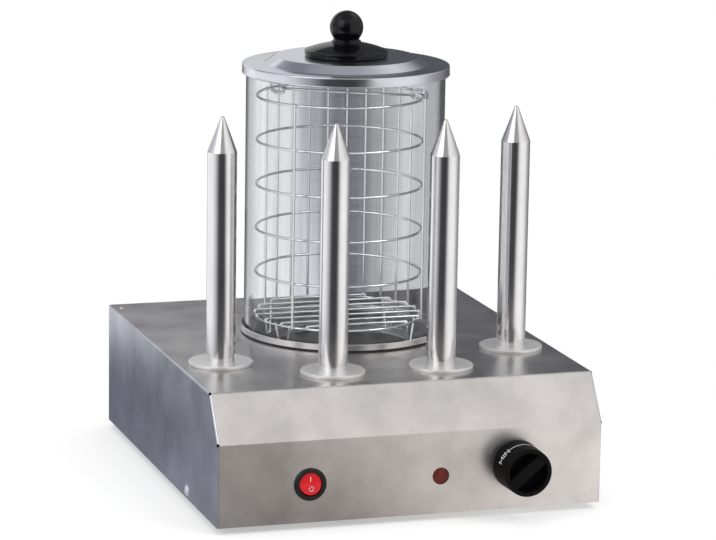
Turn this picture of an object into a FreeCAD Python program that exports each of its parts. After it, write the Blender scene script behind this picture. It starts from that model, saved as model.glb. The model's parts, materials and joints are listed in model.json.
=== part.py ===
import FreeCAD, Part
import math
import os

from FreeCAD import Vector

# Electric hot dog maker: a folded steel housing carries four heated toasting
# spikes and a glass steam cylinder with a wire basket over a water basin.
#
# Frame: millimetres, +X to the right, +Y to the back, +Z up, floor at Z = 0.
# X = 0 and Y = 0 lie in the middle of everything that stands on the floor plan,
# from the face of the front knob to the end of the rear cable gland.
# "Above the deck" means above the flat top of the housing.

# ---------------------------------------------------------------- housing
HOUSING_W = 350.0        # left to right
HOUSING_D = 394.0        # front panel to rear panel
HOUSING_H = 112.5        # lower edge to the deck
FRONT_PANEL_H = 73.3     # upright part of the front, below the sloped band
SLOPE_RUN = 27.7         # depth of the sloped band
SHEET = 1.0              # steel sheet of the housing and the base plate
FOLD_R = 2.6             # outer radius of the folds that run left to right
SIDE_FOLD_R = 1.6        # outer radius of the folds along the side walls
RELIEF_R = 1.2           # round corner relief beside each front fold
RELIEF_INSET = 2.2       # relief centre below the folded edge

BASE_GAP = 0.4           # base plate to the inside of the housing
BASE_FLANGE_H = 14.0     # upturned edge that takes the side screws
BASE_NOTCH = 6.0         # open corner between two upturned edges
VENT_L = 34.0
VENT_W = 4.0
VENT_COUNT = 7
VENT_PITCH = 11.0
VENT_ROW_FROM_SIDE = 80.0

FOOT_H = 6.0
FOOT_TOP_R = 12.0
FOOT_BOTTOM_R = 10.0
FOOT_RECESS_R = 4.5
FOOT_RECESS_H = 3.0
FOOT_EDGE = 0.8
FOOT_INSET_X = 42.0      # foot centre from the side wall
FOOT_INSET_Y = 44.0      # foot centre from the front and rear panel

SCREW_FROM_END = 100.5   # side screw from the front or the rear panel
SCREW_UP = 7.2           # side screw above the lower edge
SCREW_HEAD_R = 4.4
SCREW_HEAD_H = 2.2
SCREW_SHANK_R = 2.0
SCREW_SHANK_L = 7.0
SCREW_CLEARANCE = 0.15

# ---------------------------------------------------------- toasting spikes
INNER_SPIKE_X = 50.0     # from the middle
INNER_SPIKE_FROM_FRONT = 75.0
OUTER_SPIKE_FROM_SIDE = 38.5
OUTER_SPIKE_FROM_FRONT = 132.0
SPIKE_R = 13.0
SPIKE_WALL = 1.5
SPIKE_TOP = 222.0        # tip above the deck
SPIKE_CONE_H = 31.5
SPIKE_TIP_R = 1.6
SPIKE_COLLAR_STEP = 0.8  # collar inside the tube's surface
SPIKE_COLLAR_H = 7.0
SPIKE_PLUG_H = 12.0      # solid foot inside the tube
STUD_R = 5.0
STUD_EXTRA = 3.0         # stud below its nut
STUD_WIRE_R = 2.8        # wire way through the stud
STUD_CLEARANCE = 0.3

DISC_R = 28.5
DISC_H = 3.0
DISC_EDGE = 0.5

NUT_FLATS = 17.0
NUT_H = 8.0
NUT_CLEARANCE = 0.05

HEATER_R = 6.25
HEATER_L = 150.0

# ------------------------------------------------- water basin and its ring
GLASS_X = 8.6            # the steam cylinder stands right of the middle
GLASS_FROM_FRONT = 236.4
GLASS_R = 91.0
GLASS_WALL = 4.0
GLASS_H = 245.0
GLASS_EDGE = 0.8         # ground edges
GLASS_CLEARANCE = 1.6    # glass to the lip of the base ring

GASKET_H = 1.8
GASKET_INSET = 1.0       # gasket inside the edge of the base ring
BASIN_SHEET = 0.8
BASIN_FLANGE_GAP = 1.6   # flange inside the lip of the base ring
BASIN_STEP = 5.8         # wall of the basin inside the bore of the glass
BASIN_BEND = 1.5         # bevelled bends of the pan
BASIN_SEAM = 0.6         # rim of the basin past its lower bend, where the pan is welded on
BASIN_HOLE_GAP = 1.2     # basin wall to the hole in the deck
LEDGE_DEPTH = 12.0       # ledge below the deck, carries the basket
LEDGE_W = 17.2
BASIN_DEPTH = 38.0       # floor of the bowl below the deck

RING_LIP_T = 1.4
RING_H = 5.4             # visible band of the base ring
RING_LEDGE_T = 0.8
RING_LEDGE_W = 8.1       # ledge inside the lip
RING_EDGE = 0.4

PLATE_HEATER_INSET = 18.0  # heater inside the edge of the bowl
PLATE_HEATER_H = 10.0
PLATE_TAB_W = 6.3
PLATE_TAB_T = 0.8
PLATE_TAB_L = 9.0
PLATE_TAB_X = 26.0

# -------------------------------------------------------------------- lid
LID_SHEET = 0.9
LID_SKIRT_H = 8.3
LID_CLEARANCE = 2.5      # glass to the rolled edge of the skirt
LID_BEAD_FLATS = 1.5     # rolled edge of the skirt
LID_BEND = 0.6           # bend between the skirt and the rim
LID_SEAM_W = 1.5         # welded seam inside the edge of the lid
LID_RIM_W = 20.5         # skirt to the foot of the plateau
PLATEAU_SLOPE_RUN = 10.0
PLATEAU_H = 6.7
PLATEAU_BEND = 2.0

LID_KNOB_FLANGE_R = 38.0
LID_KNOB_FLANGE_EDGE = 5.3
LID_KNOB_FOOT_BEVEL = 1.6 # under the edge of the flange
LID_KNOB_DOME_H = 13.1   # crown of the domed flange above its foot
LID_KNOB_COLLAR_R = 13.4
LID_KNOB_COLLAR_UP = 14.2
LID_KNOB_WAIST_R = 11.8
LID_KNOB_BEVEL = 0.8
LID_KNOB_BALL_R = 15.3
LID_KNOB_BALL_UP = 26.1  # centre of the ball above the flange's foot
LID_SCREW_R = 2.0
LID_SCREW_L = 16.0
LID_SCREW_HEAD_R = 4.5
LID_SCREW_HEAD_H = 2.4
LID_SCREW_CLEARANCE = 0.1

# ----------------------------------------------------------------- basket
WIRE_FLATS = 2.3         # across the flats of a basket wire
WIRE_SIDES = 6
WIRE_GAP = 0.05          # between two wires that are welded together
BASKET_CLEARANCE = 11.0  # centre line of each ring to the bore, were it central
BASKET_OFFSET_X = -4.8   # the loose basket stands left of the glass's axis
BASKET_FIRST_RING = 16.5 # lowest ring above the deck
BASKET_TOP_GAP = 28.4    # top ring below the rim of the glass
BASKET_RINGS = 6
# directions round the basket, in degrees
REAR_UPRIGHT_ANGLES = [14.5 + 13.3 * i for i in range(10)]
FRONT_UPRIGHT_ANGLES = [-138.0, -30.0]
GRID_PITCH = 20.0
GRID_WIRES = 7
WIRE_FOOT_ANGLES = [-149.5, -41.5, 30.0, 138.0]
WIRE_FOOT_TOP_ANGLE = 7.0    # half the angle between the two legs, at the ring
WIRE_FOOT_LOW_ANGLE = 2.2    # and at the ledge
WIRE_FOOT_INSET = 2.8    # leg inside the centre line of the lowest ring
WIRE_FOOT_ON_LEDGE = 7.4 # foot outside the edge of the bowl
BASKET_SEAT_GAP = 0.3

HANDLE_ANGLE = -32.7     # direction of the handle's hinge line
HANDLE_BACK = 25.6       # hinge line behind the middle, over the heavier rear
HANDLE_EYE_R = 7.0
HANDLE_EYE_GAP = 1.2     # eye to the outside of the top ring
HANDLE_REST_ANGLE = 8.0  # front of the folded handle above the top ring
HANDLE_SWING_ANGLE = 82.0    # from rest to upright

# --------------------------------------------------------------- controls
SWITCH_FROM_LEFT = 82.7
SWITCH_UP = 34.0         # above the housing's lower edge
SWITCH_BEZEL_W = 1.7     # bezel outside the body
SWITCH_BEZEL_H = 2.0
SWITCH_BEZEL_EDGE = 1.1
SWITCH_WALL = 2.4
SWITCH_BODY_L = 20.0
SWITCH_HOLE_GAP = 0.2
SWITCH_WELL_DEPTH = 9.0
ROCKER_R = 9.5
ROCKER_GAP = 0.9         # rocker to the wall of its well
ROCKER_PIVOT_DEPTH = 3.0
ROCKER_BACK = 3.0        # rocker behind its pivot
ROCKER_CENTRE_H = 0.8    # middle of the rocker in front of the panel
ROCKER_ANGLE = 7.0       # each way from level
ROCKER_PIN_R = 1.2
ROCKER_PIN_GRIP = 1.2    # pin inside the wall of the well
RUNNING_FIT = 0.05
BLADE_W = 4.8
BLADE_T = 0.8
BLADE_L = 9.0
BLADE_SPREAD = 5.5

LAMP_X = 26.2
LAMP_UP = 33.5
LAMP_R = 7.4
LAMP_HOLE_GAP = 0.2
LAMP_SINK = 1.0          # rim of the lens behind the panel's face
LAMP_DOME_H = 0.9
LAMP_FLANGE_W = 2.1
LAMP_FLANGE_H = 1.5
LAMP_BODY_R = 8.0
LAMP_BODY_L = 20.0
LAMP_PIN_X = 4.0
LAMP_PIN_W = 1.6

KNOB_FROM_RIGHT = 78.8
KNOB_UP = 39.3
KNOB_GAP = 1.0
KNOB_H = 30.0
KNOB_BASE_R = 22.0
KNOB_FACE_R = 21.3
KNOB_BEVEL = 0.8
KNOB_RIM = 3.6           # raised ring round the face
KNOB_POCKET_DEPTH = 14.0
KNOB_GRIP_TOP_W = 10.0
KNOB_GRIP_FOOT_W = 14.0
KNOB_GRIP_SINK = 1.0     # top of the grip bar below the ring
KNOB_GRIP_BEVEL = 1.2
KNOB_GRIP_ANGLE = 40.0   # bar against the horizontal
KNOB_HUB_R = 7.0
KNOB_SKIRT_T = 2.4
KNOB_HOLLOW_DEPTH = 11.0
SHAFT_R = 3.0
SHAFT_SOCKET = 20.0      # shaft inside the knob
SHAFT_FLAT = 0.8         # depth of the flat on the shaft
SHAFT_TAIL = 9.0         # shaft inside the thermostat's case

BUSH_R = 6.0
BUSH_L = 5.0
SHAFT_HOLE_GAP = 1.0     # shaft to the hole in the panel
CASE_W = 34.0
CASE_L = 26.0
CASE_EDGE_R = 2.0
CASE_BLADE_X = 8.5

# ---------------------------------------------------- supply at the rear
GLAND_FROM_LEFT = 65.0
GLAND_UP = 28.0
GLAND_FLATS = 22.0
GLAND_HEX_H = 6.0
GLAND_L = 20.0           # from the panel to the gland's mouth
GLAND_DOME_R = 10.0
GLAND_SHOULDER = 6.0     # tapered end of the cap
GLAND_MOUTH_R = 6.6
GLAND_THREAD_R = 7.8
GLAND_THREAD_L = 9.0     # behind the panel's face
GLAND_HOLE_GAP = 0.2
GLAND_BORE_R = 4.0       # seal that grips the cable
GLAND_TAIL_BORE_R = 5.0  # wider bore behind the seal
GLAND_SEAL_FROM = 1.0    # inner end of the seal in front of the panel
GLAND_NUT_H = 4.0
GLAND_NUT_CLEARANCE = 0.05

BLOCK_W = 34.0
BLOCK_D = 18.0
BLOCK_H = 17.0
BLOCK_FROM_REAR = 52.0
BLOCK_POLES = 3
BLOCK_POLE_PITCH = 10.0
BLOCK_WIRE_R = 2.2
BLOCK_WIRE_UP = 5.7
BLOCK_SCREW_R = 2.6
BLOCK_SCREW_DEPTH = 6.0

# ------------------------------------------------------- derived positions
KNOB_REACH = KNOB_GAP + KNOB_H
HOUSING_Y = (KNOB_REACH - GLAND_L) / 2
FRONT_Y = HOUSING_Y - HOUSING_D / 2
REAR_Y = HOUSING_Y + HOUSING_D / 2
LEFT_X = -HOUSING_W / 2
RIGHT_X = HOUSING_W / 2
HOUSING_Z = FOOT_H
DECK_Z = HOUSING_Z + HOUSING_H
GLASS_Y = FRONT_Y + GLASS_FROM_FRONT
GLASS_BORE_R = GLASS_R - GLASS_WALL
GLASS_FOOT = GASKET_H + BASIN_SHEET + RING_LEDGE_T
GLASS_TOP = GLASS_FOOT + GLASS_H
RING_LIP_R = GLASS_R + GLASS_CLEARANCE
RING_R = RING_LIP_R + RING_LIP_T
BASIN_WALL_R = GLASS_BORE_R - BASIN_STEP
BASIN_SEAM_R = BASIN_WALL_R - BASIN_BEND - BASIN_SEAM
LEDGE_R = BASIN_WALL_R - LEDGE_W
LID_TOP = GLASS_TOP + LID_SHEET
LID_R = GLASS_R + LID_CLEARANCE + LID_BEAD_FLATS
LID_SEAM_R = LID_R - LID_SEAM_W
PLATEAU_FOOT_R = LID_R - LID_RIM_W
PLATEAU_R = PLATEAU_FOOT_R - PLATEAU_SLOPE_RUN
PLATEAU_TOP = LID_TOP + PLATEAU_H
BASKET_R = GLASS_BORE_R - BASKET_CLEARANCE
BASKET_X = GLASS_X + BASKET_OFFSET_X
TOP_RING = GLASS_TOP - BASKET_TOP_GAP
SWITCH_X = LEFT_X + SWITCH_FROM_LEFT
SWITCH_WELL_R = ROCKER_R + ROCKER_GAP
SWITCH_BODY_R = SWITCH_WELL_R + SWITCH_WALL
KNOB_X = RIGHT_X - KNOB_FROM_RIGHT
GLAND_X = LEFT_X + GLAND_FROM_LEFT
OUTER_SPIKE_X = RIGHT_X - OUTER_SPIKE_FROM_SIDE
SPIKES = {
    "outer_left": (-OUTER_SPIKE_X, FRONT_Y + OUTER_SPIKE_FROM_FRONT),
    "inner_left": (-INNER_SPIKE_X, FRONT_Y + INNER_SPIKE_FROM_FRONT),
    "inner_right": (INNER_SPIKE_X, FRONT_Y + INNER_SPIKE_FROM_FRONT),
    "outer_right": (OUTER_SPIKE_X, FRONT_Y + OUTER_SPIKE_FROM_FRONT),
}

X_AXIS = Vector(1, 0, 0)
Y_AXIS = Vector(0, 1, 0)
Z_AXIS = Vector(0, 0, 1)
ORIGIN = Vector(0, 0, 0)
TOLERANCE = 1e-6


# ------------------------------------------------------------------ tools
def profile(points, closed=True):
    """Wire through (a, b) points in the XZ plane.

    A third value rounds that corner by a radius, or bevels it where it is negative.
    """
    corners = [Vector(p[0], 0, p[1]) for p in points]
    sizes = [p[2] if len(p) > 2 else 0 for p in points]
    count = len(points)
    ends, turns = [], []
    for i, corner in enumerate(corners):
        back = (corners[i - 1] - corner).normalize()
        ahead = (corners[(i + 1) % count] - corner).normalize()
        half = back.getAngle(ahead) / 2
        reach = sizes[i] / math.tan(half) if sizes[i] > 0 else -sizes[i]
        start, end = corner + back * reach, corner + ahead * reach
        ends.append((start, end))
        if sizes[i] > 0:
            centre = corner + (back + ahead).normalize() * (sizes[i] / math.sin(half))
            middle = centre + (corner - centre).normalize() * sizes[i]
            turns.append(Part.Arc(start, middle, end).toShape())
        elif sizes[i] < 0:
            turns.append(Part.LineSegment(start, end).toShape())
        else:
            turns.append(None)
    edges = []
    for i in range(count):
        if turns[i]:
            edges.append(turns[i])
        if i + 1 < count or closed:
            start, end = ends[i][1], ends[(i + 1) % count][0]
            if start.distanceToPoint(end) > TOLERANCE:
                edges.append(Part.LineSegment(start, end).toShape())
    return Part.Wire(edges)


def turned(points):
    """Solid turned round the Z axis from a closed (radius, height) outline."""
    return Part.Face(profile(points)).revolve(ORIGIN, Z_AXIS, 360)


def turned_sheet(points, thickness):
    """Pressed sheet turned round the Z axis from an open (radius, height) line."""
    line = profile(points, closed=False)
    strip = line.makeOffset2D(thickness, 2, True, True)
    return strip.revolve(ORIGIN, Z_AXIS, 360)


def prism(points, length):
    """Straight bar along +Y, centred on Y = 0, from a closed (x, z) outline."""
    bar = Part.Face(profile(points)).extrude(Y_AXIS * length)
    return moved(bar, 0, -length / 2, 0)


def moved(shape, x, y, z):
    copy = shape.copy()
    copy.translate(Vector(x, y, z))
    return copy


def rotated(shape, axis, angle, about=ORIGIN):
    copy = shape.copy()
    copy.rotate(about, axis, angle)
    return copy


def box(x0, x1, y0, y1, z0, z1):
    return Part.makeBox(x1 - x0, y1 - y0, z1 - z0, Vector(x0, y0, z0))


def polygon(flats, sides):
    """Regular polygon in the XZ plane, measured across its flats, one flat to +X."""
    radius = flats / 2 / math.cos(math.pi / sides)
    angles = [(2 * i + 1) * math.pi / sides for i in range(sides + 1)]
    corners = [Vector(radius * math.cos(a), 0, radius * math.sin(a)) for a in angles]
    return Part.Face(Part.makePolygon(corners))


def hexagon(flats, height):
    """Hexagonal prism on Z = 0, measured across its flats."""
    return rotated(polygon(flats, 6), X_AXIS, -90).extrude(Z_AXIS * height)


def on_deck(shape, x, y):
    return moved(shape, x, y, DECK_Z)


def on_front(shape, x, up):
    """Puts a shape built along +Z on the front panel, with +Z pointing out of it."""
    return moved(rotated(shape, X_AXIS, 90), x, FRONT_Y, HOUSING_Z + up)


def on_rear(shape, x, up):
    return moved(rotated(shape, X_AXIS, -90), x, REAR_Y, HOUSING_Z + up)


def at_glass(shape):
    return on_deck(shape, GLASS_X, GLASS_Y)


def in_glass(shape):
    """Puts a piece of the basket in its place inside the glass."""
    return on_deck(shape, BASKET_X, GLASS_Y)


def round_point(radius, direction, height):
    """Point round the basket, by its direction in degrees from +X."""
    angle = math.radians(direction)
    return Vector(radius * math.cos(angle), radius * math.sin(angle), height)


# ---------------------------------------------------------------- housing
def housing_block(inset):
    """The folded box as a solid whose walls, deck and front lie inset deep."""
    fold = FOLD_R
    outline = profile([
        (FRONT_Y, HOUSING_Z - 2 * inset),
        (FRONT_Y, HOUSING_Z + FRONT_PANEL_H, fold),
        (FRONT_Y + SLOPE_RUN, DECK_Z, fold),
        (REAR_Y, DECK_Z, fold),
        (REAR_Y, HOUSING_Z - 2 * inset),
    ])
    if inset:
        outline = outline.makeOffset2D(-inset, 2)
    half = HOUSING_W / 2 - inset
    block = Part.Face(outline).extrude(Y_AXIS * 2 * half)
    block = moved(rotated(block, Z_AXIS, 90), half, 0, 0)
    low = block.BoundBox.ZMin
    side_folds = [e for e in block.Edges
                  if e.BoundBox.XLength < TOLERANCE and e.BoundBox.ZMax > low + TOLERANCE]
    return block.makeFillet(SIDE_FOLD_R - inset, side_folds)


def corner_reliefs():
    """Round reliefs through the side walls where the front folds end."""
    fold_low = (FRONT_Y, HOUSING_Z + FRONT_PANEL_H)
    fold_high = (FRONT_Y + SLOPE_RUN, DECK_Z)
    reliefs = []
    for y, z in (fold_low, fold_high):
        for side in (-1, 1):
            x = side * (HOUSING_W / 2 - 2 * SHEET)
            drill = Part.makeCylinder(RELIEF_R, 3 * SHEET, ORIGIN, X_AXIS * side)
            reliefs.append(moved(drill, x, y + RELIEF_INSET, z - RELIEF_INSET))
    return reliefs


def screw_places():
    """Side screws as (side, y) pairs."""
    return [(side, y) for side in (-1, 1)
            for y in (FRONT_Y + SCREW_FROM_END, REAR_Y - SCREW_FROM_END)]


def screw_holes(depth):
    holes = []
    for side, y in screw_places():
        start = Vector(side * (HOUSING_W / 2 + SHEET), y, HOUSING_Z + SCREW_UP)
        radius = SCREW_SHANK_R + SCREW_CLEARANCE
        holes.append(Part.makeCylinder(radius, depth, start, X_AXIS * -side))
    return holes


def through_panel(radius):
    return moved(Part.makeCylinder(radius, 4 * SHEET), 0, 0, -2.5 * SHEET)


def housing_shell():
    """Folded sheet and the two side panels that are welded to it, by name."""
    shell = housing_block(0).cut(housing_block(SHEET))
    openings = [at_glass(through_panel(BASIN_WALL_R + BASIN_SHEET + BASIN_HOLE_GAP))]
    for x, y in SPIKES.values():
        openings.append(on_deck(through_panel(STUD_R + STUD_CLEARANCE), x, y))
    switch_hole = through_panel(SWITCH_BODY_R + SWITCH_HOLE_GAP)
    openings.append(on_front(switch_hole, SWITCH_X, SWITCH_UP))
    openings.append(on_front(through_panel(LAMP_R + LAMP_HOLE_GAP), LAMP_X, LAMP_UP))
    openings.append(on_front(through_panel(SHAFT_R + SHAFT_HOLE_GAP), KNOB_X, KNOB_UP))
    gland_hole = through_panel(GLAND_THREAD_R + GLAND_HOLE_GAP)
    openings.append(on_rear(gland_hole, GLAND_X, GLAND_UP))
    shell = shell.cut(openings + corner_reliefs() + screw_holes(4 * SHEET))
    left, right = LEFT_X + SIDE_FOLD_R, RIGHT_X - SIDE_FOLD_R
    spans = {"side_panel_left": (LEFT_X, left), "housing_shell": (left, right),
             "side_panel_right": (right, RIGHT_X)}
    return {name: shell.common(box(x0, x1, FRONT_Y, REAR_Y, 0, DECK_Z))
            for name, (x0, x1) in spans.items()}


def base_plate():
    """Bottom tray with upturned edges, open corners and two rows of vents."""
    x = HOUSING_W / 2 - SHEET - BASE_GAP
    y0, y1 = FRONT_Y + SHEET + BASE_GAP, REAR_Y - SHEET - BASE_GAP
    z0, z1 = HOUSING_Z, HOUSING_Z + BASE_FLANGE_H
    tray = box(-x, x, y0, y1, z0, z1)
    tray = tray.cut(box(-x + SHEET, x - SHEET, y0 + SHEET, y1 - SHEET, z0 + SHEET, z1))
    corners = [box(sx - BASE_NOTCH, sx + BASE_NOTCH, sy - BASE_NOTCH, sy + BASE_NOTCH,
                   z0 + SHEET, z1) for sx in (-x, x) for sy in (y0, y1)]
    vents = []
    for row in (LEFT_X + VENT_ROW_FROM_SIDE, RIGHT_X - VENT_ROW_FROM_SIDE):
        for i in range(VENT_COUNT):
            y = HOUSING_Y + (i - (VENT_COUNT - 1) / 2) * VENT_PITCH
            vents.append(box(row - VENT_L / 2, row + VENT_L / 2,
                             y - VENT_W / 2, y + VENT_W / 2, z0, z0 + SHEET))
    return tray.cut(corners + vents + screw_holes(BASE_NOTCH))


def foot():
    """Tapered rubber foot with the recess of its fixing screw."""
    return turned([
        (FOOT_RECESS_R, 0), (FOOT_BOTTOM_R, 0, -FOOT_EDGE), (FOOT_TOP_R, FOOT_H),
        (0, FOOT_H), (0, FOOT_RECESS_H), (FOOT_RECESS_R, FOOT_RECESS_H),
    ])


def feet():
    x = HOUSING_W / 2 - FOOT_INSET_X
    front, rear = FRONT_Y + FOOT_INSET_Y, REAR_Y - FOOT_INSET_Y
    places = {"front_left": (-x, front), "front_right": (x, front),
              "rear_left": (-x, rear), "rear_right": (x, rear)}
    return {"foot_" + name: moved(foot(), *xy, 0) for name, xy in places.items()}


def side_screws():
    """Pan head screws that hold the base plate in the housing."""
    screws = []
    for side, y in screw_places():
        screw = turned([
            (0, -SCREW_SHANK_L), (SCREW_SHANK_R, -SCREW_SHANK_L), (SCREW_SHANK_R, 0),
            (SCREW_HEAD_R, 0), (SCREW_HEAD_R, SCREW_HEAD_H, -SCREW_HEAD_H / 2),
            (0, SCREW_HEAD_H),
        ])
        screw = rotated(screw, Y_AXIS, 90 * side)
        screws.append(moved(screw, side * HOUSING_W / 2, y, HOUSING_Z + SCREW_UP))
    return Part.makeCompound(screws)


# ---------------------------------------------------------- toasting spikes
def spike():
    """Pointed steel tube with a solid foot and a hollow threaded stud."""
    stud_low = -SHEET - NUT_H - STUD_EXTRA
    shoulder = SPIKE_TOP - SPIKE_CONE_H
    inner_r = SPIKE_R - SPIKE_WALL
    collar_r = SPIKE_R - SPIKE_COLLAR_STEP
    slope = (SPIKE_R - SPIKE_TIP_R) / SPIKE_CONE_H
    cavity_top = SPIKE_TOP - 2 * SPIKE_TIP_R - SPIKE_WALL / slope
    floor = DISC_H + SPIKE_PLUG_H
    return turned([
        (STUD_WIRE_R, stud_low), (STUD_R, stud_low), (STUD_R, DISC_H),
        (collar_r, DISC_H), (collar_r, DISC_H + SPIKE_COLLAR_H),
        (SPIKE_R, DISC_H + SPIKE_COLLAR_H), (SPIKE_R, shoulder),
        (SPIKE_TIP_R, SPIKE_TOP - SPIKE_TIP_R / 2), (0, SPIKE_TOP),
        (0, cavity_top), (inner_r, cavity_top - inner_r / slope),
        (inner_r, floor), (STUD_WIRE_R, floor),
    ])


def spike_disc():
    """Bun rest: a turned washer under each spike."""
    bore = STUD_R + STUD_CLEARANCE
    return turned([
        (bore, 0), (DISC_R, 0, -DISC_EDGE), (DISC_R, DISC_H, -DISC_EDGE), (bore, DISC_H),
    ])


def spike_heater():
    """Cartridge heater that stands on the foot inside the tube."""
    floor = DISC_H + SPIKE_PLUG_H
    return moved(Part.makeCylinder(HEATER_R, HEATER_L), 0, 0, floor)


def spike_nuts():
    nut = hexagon(NUT_FLATS, NUT_H)
    nut = nut.cut(Part.makeCylinder(STUD_R + NUT_CLEARANCE, NUT_H))
    nut = moved(nut, 0, 0, -SHEET - NUT_H)
    return Part.makeCompound([on_deck(nut, x, y) for x, y in SPIKES.values()])


def spikes():
    pieces = {"spike_nuts": spike_nuts()}
    for name, (x, y) in SPIKES.items():
        pieces["spike_" + name] = on_deck(spike(), x, y)
        pieces["disc_" + name] = on_deck(spike_disc(), x, y)
        pieces["heater_" + name] = on_deck(spike_heater(), x, y)
    return pieces


# ------------------------------------------------- water basin and its ring
def basin_gasket():
    bore = BASIN_WALL_R + BASIN_SHEET + BASIN_BEND
    rim = RING_R - GASKET_INSET
    return turned([(bore, 0), (rim, 0), (rim, GASKET_H), (bore, GASKET_H)])


def basin_rim():
    """Upper part of the basin: flange on the gasket and the wall in the deck's hole."""
    rim = GASKET_H + BASIN_SHEET
    return turned_sheet([
        (RING_LIP_R - BASIN_FLANGE_GAP, rim), (BASIN_WALL_R, rim, -BASIN_BEND),
        (BASIN_WALL_R, -LEDGE_DEPTH, -BASIN_BEND), (BASIN_SEAM_R, -LEDGE_DEPTH),
    ], BASIN_SHEET)


def water_basin():
    """Pan welded into the rim: ledge for the basket and bowl for the water."""
    return turned_sheet([
        (BASIN_SEAM_R, -LEDGE_DEPTH), (LEDGE_R, -LEDGE_DEPTH, -BASIN_BEND),
        (LEDGE_R, -BASIN_DEPTH, -BASIN_BEND), (0, -BASIN_DEPTH),
    ], BASIN_SHEET)


def base_ring():
    """L-shaped steel ring: its ledge carries the glass, its lip centres it."""
    low = GASKET_H
    ledge = GASKET_H + BASIN_SHEET
    top = low + RING_H
    lip_r, inner_r = RING_LIP_R, RING_LIP_R - RING_LEDGE_W
    return turned([
        (inner_r, ledge), (lip_r, ledge), (lip_r, low), (RING_R, low),
        (RING_R, top, -RING_EDGE), (lip_r, top, -RING_EDGE),
        (lip_r, GLASS_FOOT), (inner_r, GLASS_FOOT),
    ])


def glass_cylinder():
    return turned([
        (GLASS_BORE_R, GLASS_FOOT, -GLASS_EDGE), (GLASS_R, GLASS_FOOT, -GLASS_EDGE),
        (GLASS_R, GLASS_TOP, -GLASS_EDGE), (GLASS_BORE_R, GLASS_TOP, -GLASS_EDGE),
    ])


def plate_heater():
    """Disc heater clamped under the bowl, with two blade terminals."""
    top = -BASIN_DEPTH - BASIN_SHEET
    disc = Part.makeCylinder(LEDGE_R - PLATE_HEATER_INSET, PLATE_HEATER_H,
                             Vector(0, 0, top - PLATE_HEATER_H))
    low = top - PLATE_HEATER_H - PLATE_TAB_L
    tabs = [box(x - PLATE_TAB_W / 2, x + PLATE_TAB_W / 2, -PLATE_TAB_T / 2,
                PLATE_TAB_T / 2, low, top - PLATE_HEATER_H / 2)
            for x in (-PLATE_TAB_X, PLATE_TAB_X)]
    return disc.fuse(tabs).removeSplitter()


# -------------------------------------------------------------------- lid
def lid():
    """Top of the lid: flat rim on the glass and a raised middle for the knob."""
    return turned_sheet([
        (LID_SEAM_R, LID_TOP), (PLATEAU_FOOT_R, LID_TOP),
        (PLATEAU_R, PLATEAU_TOP, -PLATEAU_BEND),
        (LID_SCREW_R + LID_SCREW_CLEARANCE, PLATEAU_TOP),
    ], LID_SHEET)


def lid_skirt():
    """Skirt welded round the edge of the lid, rolled at its lower end."""
    bead_r = LID_R - LID_BEAD_FLATS / 2
    edge_r = bead_r + LID_SHEET / 2
    low = LID_TOP - LID_SKIRT_H
    skirt = turned_sheet([
        (edge_r, low), (edge_r, LID_TOP, -LID_BEND), (LID_SEAM_R, LID_TOP),
    ], LID_SHEET)
    bead = moved(polygon(LID_BEAD_FLATS, 8), bead_r, 0, low)
    return skirt.fuse(bead.revolve(ORIGIN, Z_AXIS, 360)).removeSplitter()


def lid_knob():
    """Turned knob: domed flange, collar, waist and ball in one piece."""
    foot_z = PLATEAU_TOP
    crown = foot_z + LID_KNOB_DOME_H
    collar = foot_z + LID_KNOB_COLLAR_UP
    centre = foot_z + LID_KNOB_BALL_UP
    rise = LID_KNOB_DOME_H - LID_KNOB_FLANGE_EDGE
    dome_r = (LID_KNOB_FLANGE_R ** 2 + rise ** 2) / (2 * rise)
    dome = Part.makeSphere(dome_r, Vector(0, 0, crown - dome_r))
    flange = turned([
        (0, foot_z), (LID_KNOB_FLANGE_R, foot_z, -LID_KNOB_FOOT_BEVEL),
        (LID_KNOB_FLANGE_R, crown), (0, crown),
    ]).common(dome)
    neck = turned([
        (0, foot_z), (LID_KNOB_COLLAR_R, foot_z),
        (LID_KNOB_COLLAR_R, collar, -LID_KNOB_BEVEL), (LID_KNOB_WAIST_R, collar),
        (LID_KNOB_WAIST_R, centre), (0, centre),
    ])
    ball = Part.makeSphere(LID_KNOB_BALL_R, Vector(0, 0, centre))
    hole = Part.makeCylinder(LID_SCREW_R + LID_SCREW_CLEARANCE, LID_SCREW_L,
                             Vector(0, 0, foot_z))
    return flange.fuse([neck, ball]).cut(hole).removeSplitter()


def lid_knob_screw():
    """Pan head screw from inside the lid into the knob."""
    head_top = PLATEAU_TOP - LID_SHEET
    return turned([
        (0, head_top - LID_SCREW_HEAD_H),
        (LID_SCREW_HEAD_R, head_top - LID_SCREW_HEAD_H, -LID_SCREW_HEAD_H / 2),
        (LID_SCREW_HEAD_R, head_top), (LID_SCREW_R, head_top),
        (LID_SCREW_R, head_top + LID_SCREW_L), (0, head_top + LID_SCREW_L),
    ])


# ----------------------------------------------------------------- basket
def wire_arc(radius, start, sweep):
    """Wire bent round the Z axis, by its first direction and its sweep in degrees."""
    section = moved(polygon(WIRE_FLATS, WIRE_SIDES), radius, 0, 0)
    return rotated(section, Z_AXIS, start).revolve(ORIGIN, Z_AXIS, sweep)


def wire_bar(start, end):
    """Straight wire between two points."""
    way = end - start
    bar = polygon(WIRE_FLATS, WIRE_SIDES).extrude(Y_AXIS * way.Length)
    bar.Placement = FreeCAD.Placement(start, FreeCAD.Rotation(Y_AXIS, way))
    return bar


def basket_rings():
    ring = wire_arc(BASKET_R, 0, 360)
    pitch = (TOP_RING - BASKET_FIRST_RING) / (BASKET_RINGS - 1)
    return {"basket_ring_%d" % (i + 1): in_glass(moved(ring, 0, 0, BASKET_FIRST_RING + i * pitch))
            for i in range(BASKET_RINGS)}


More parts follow.
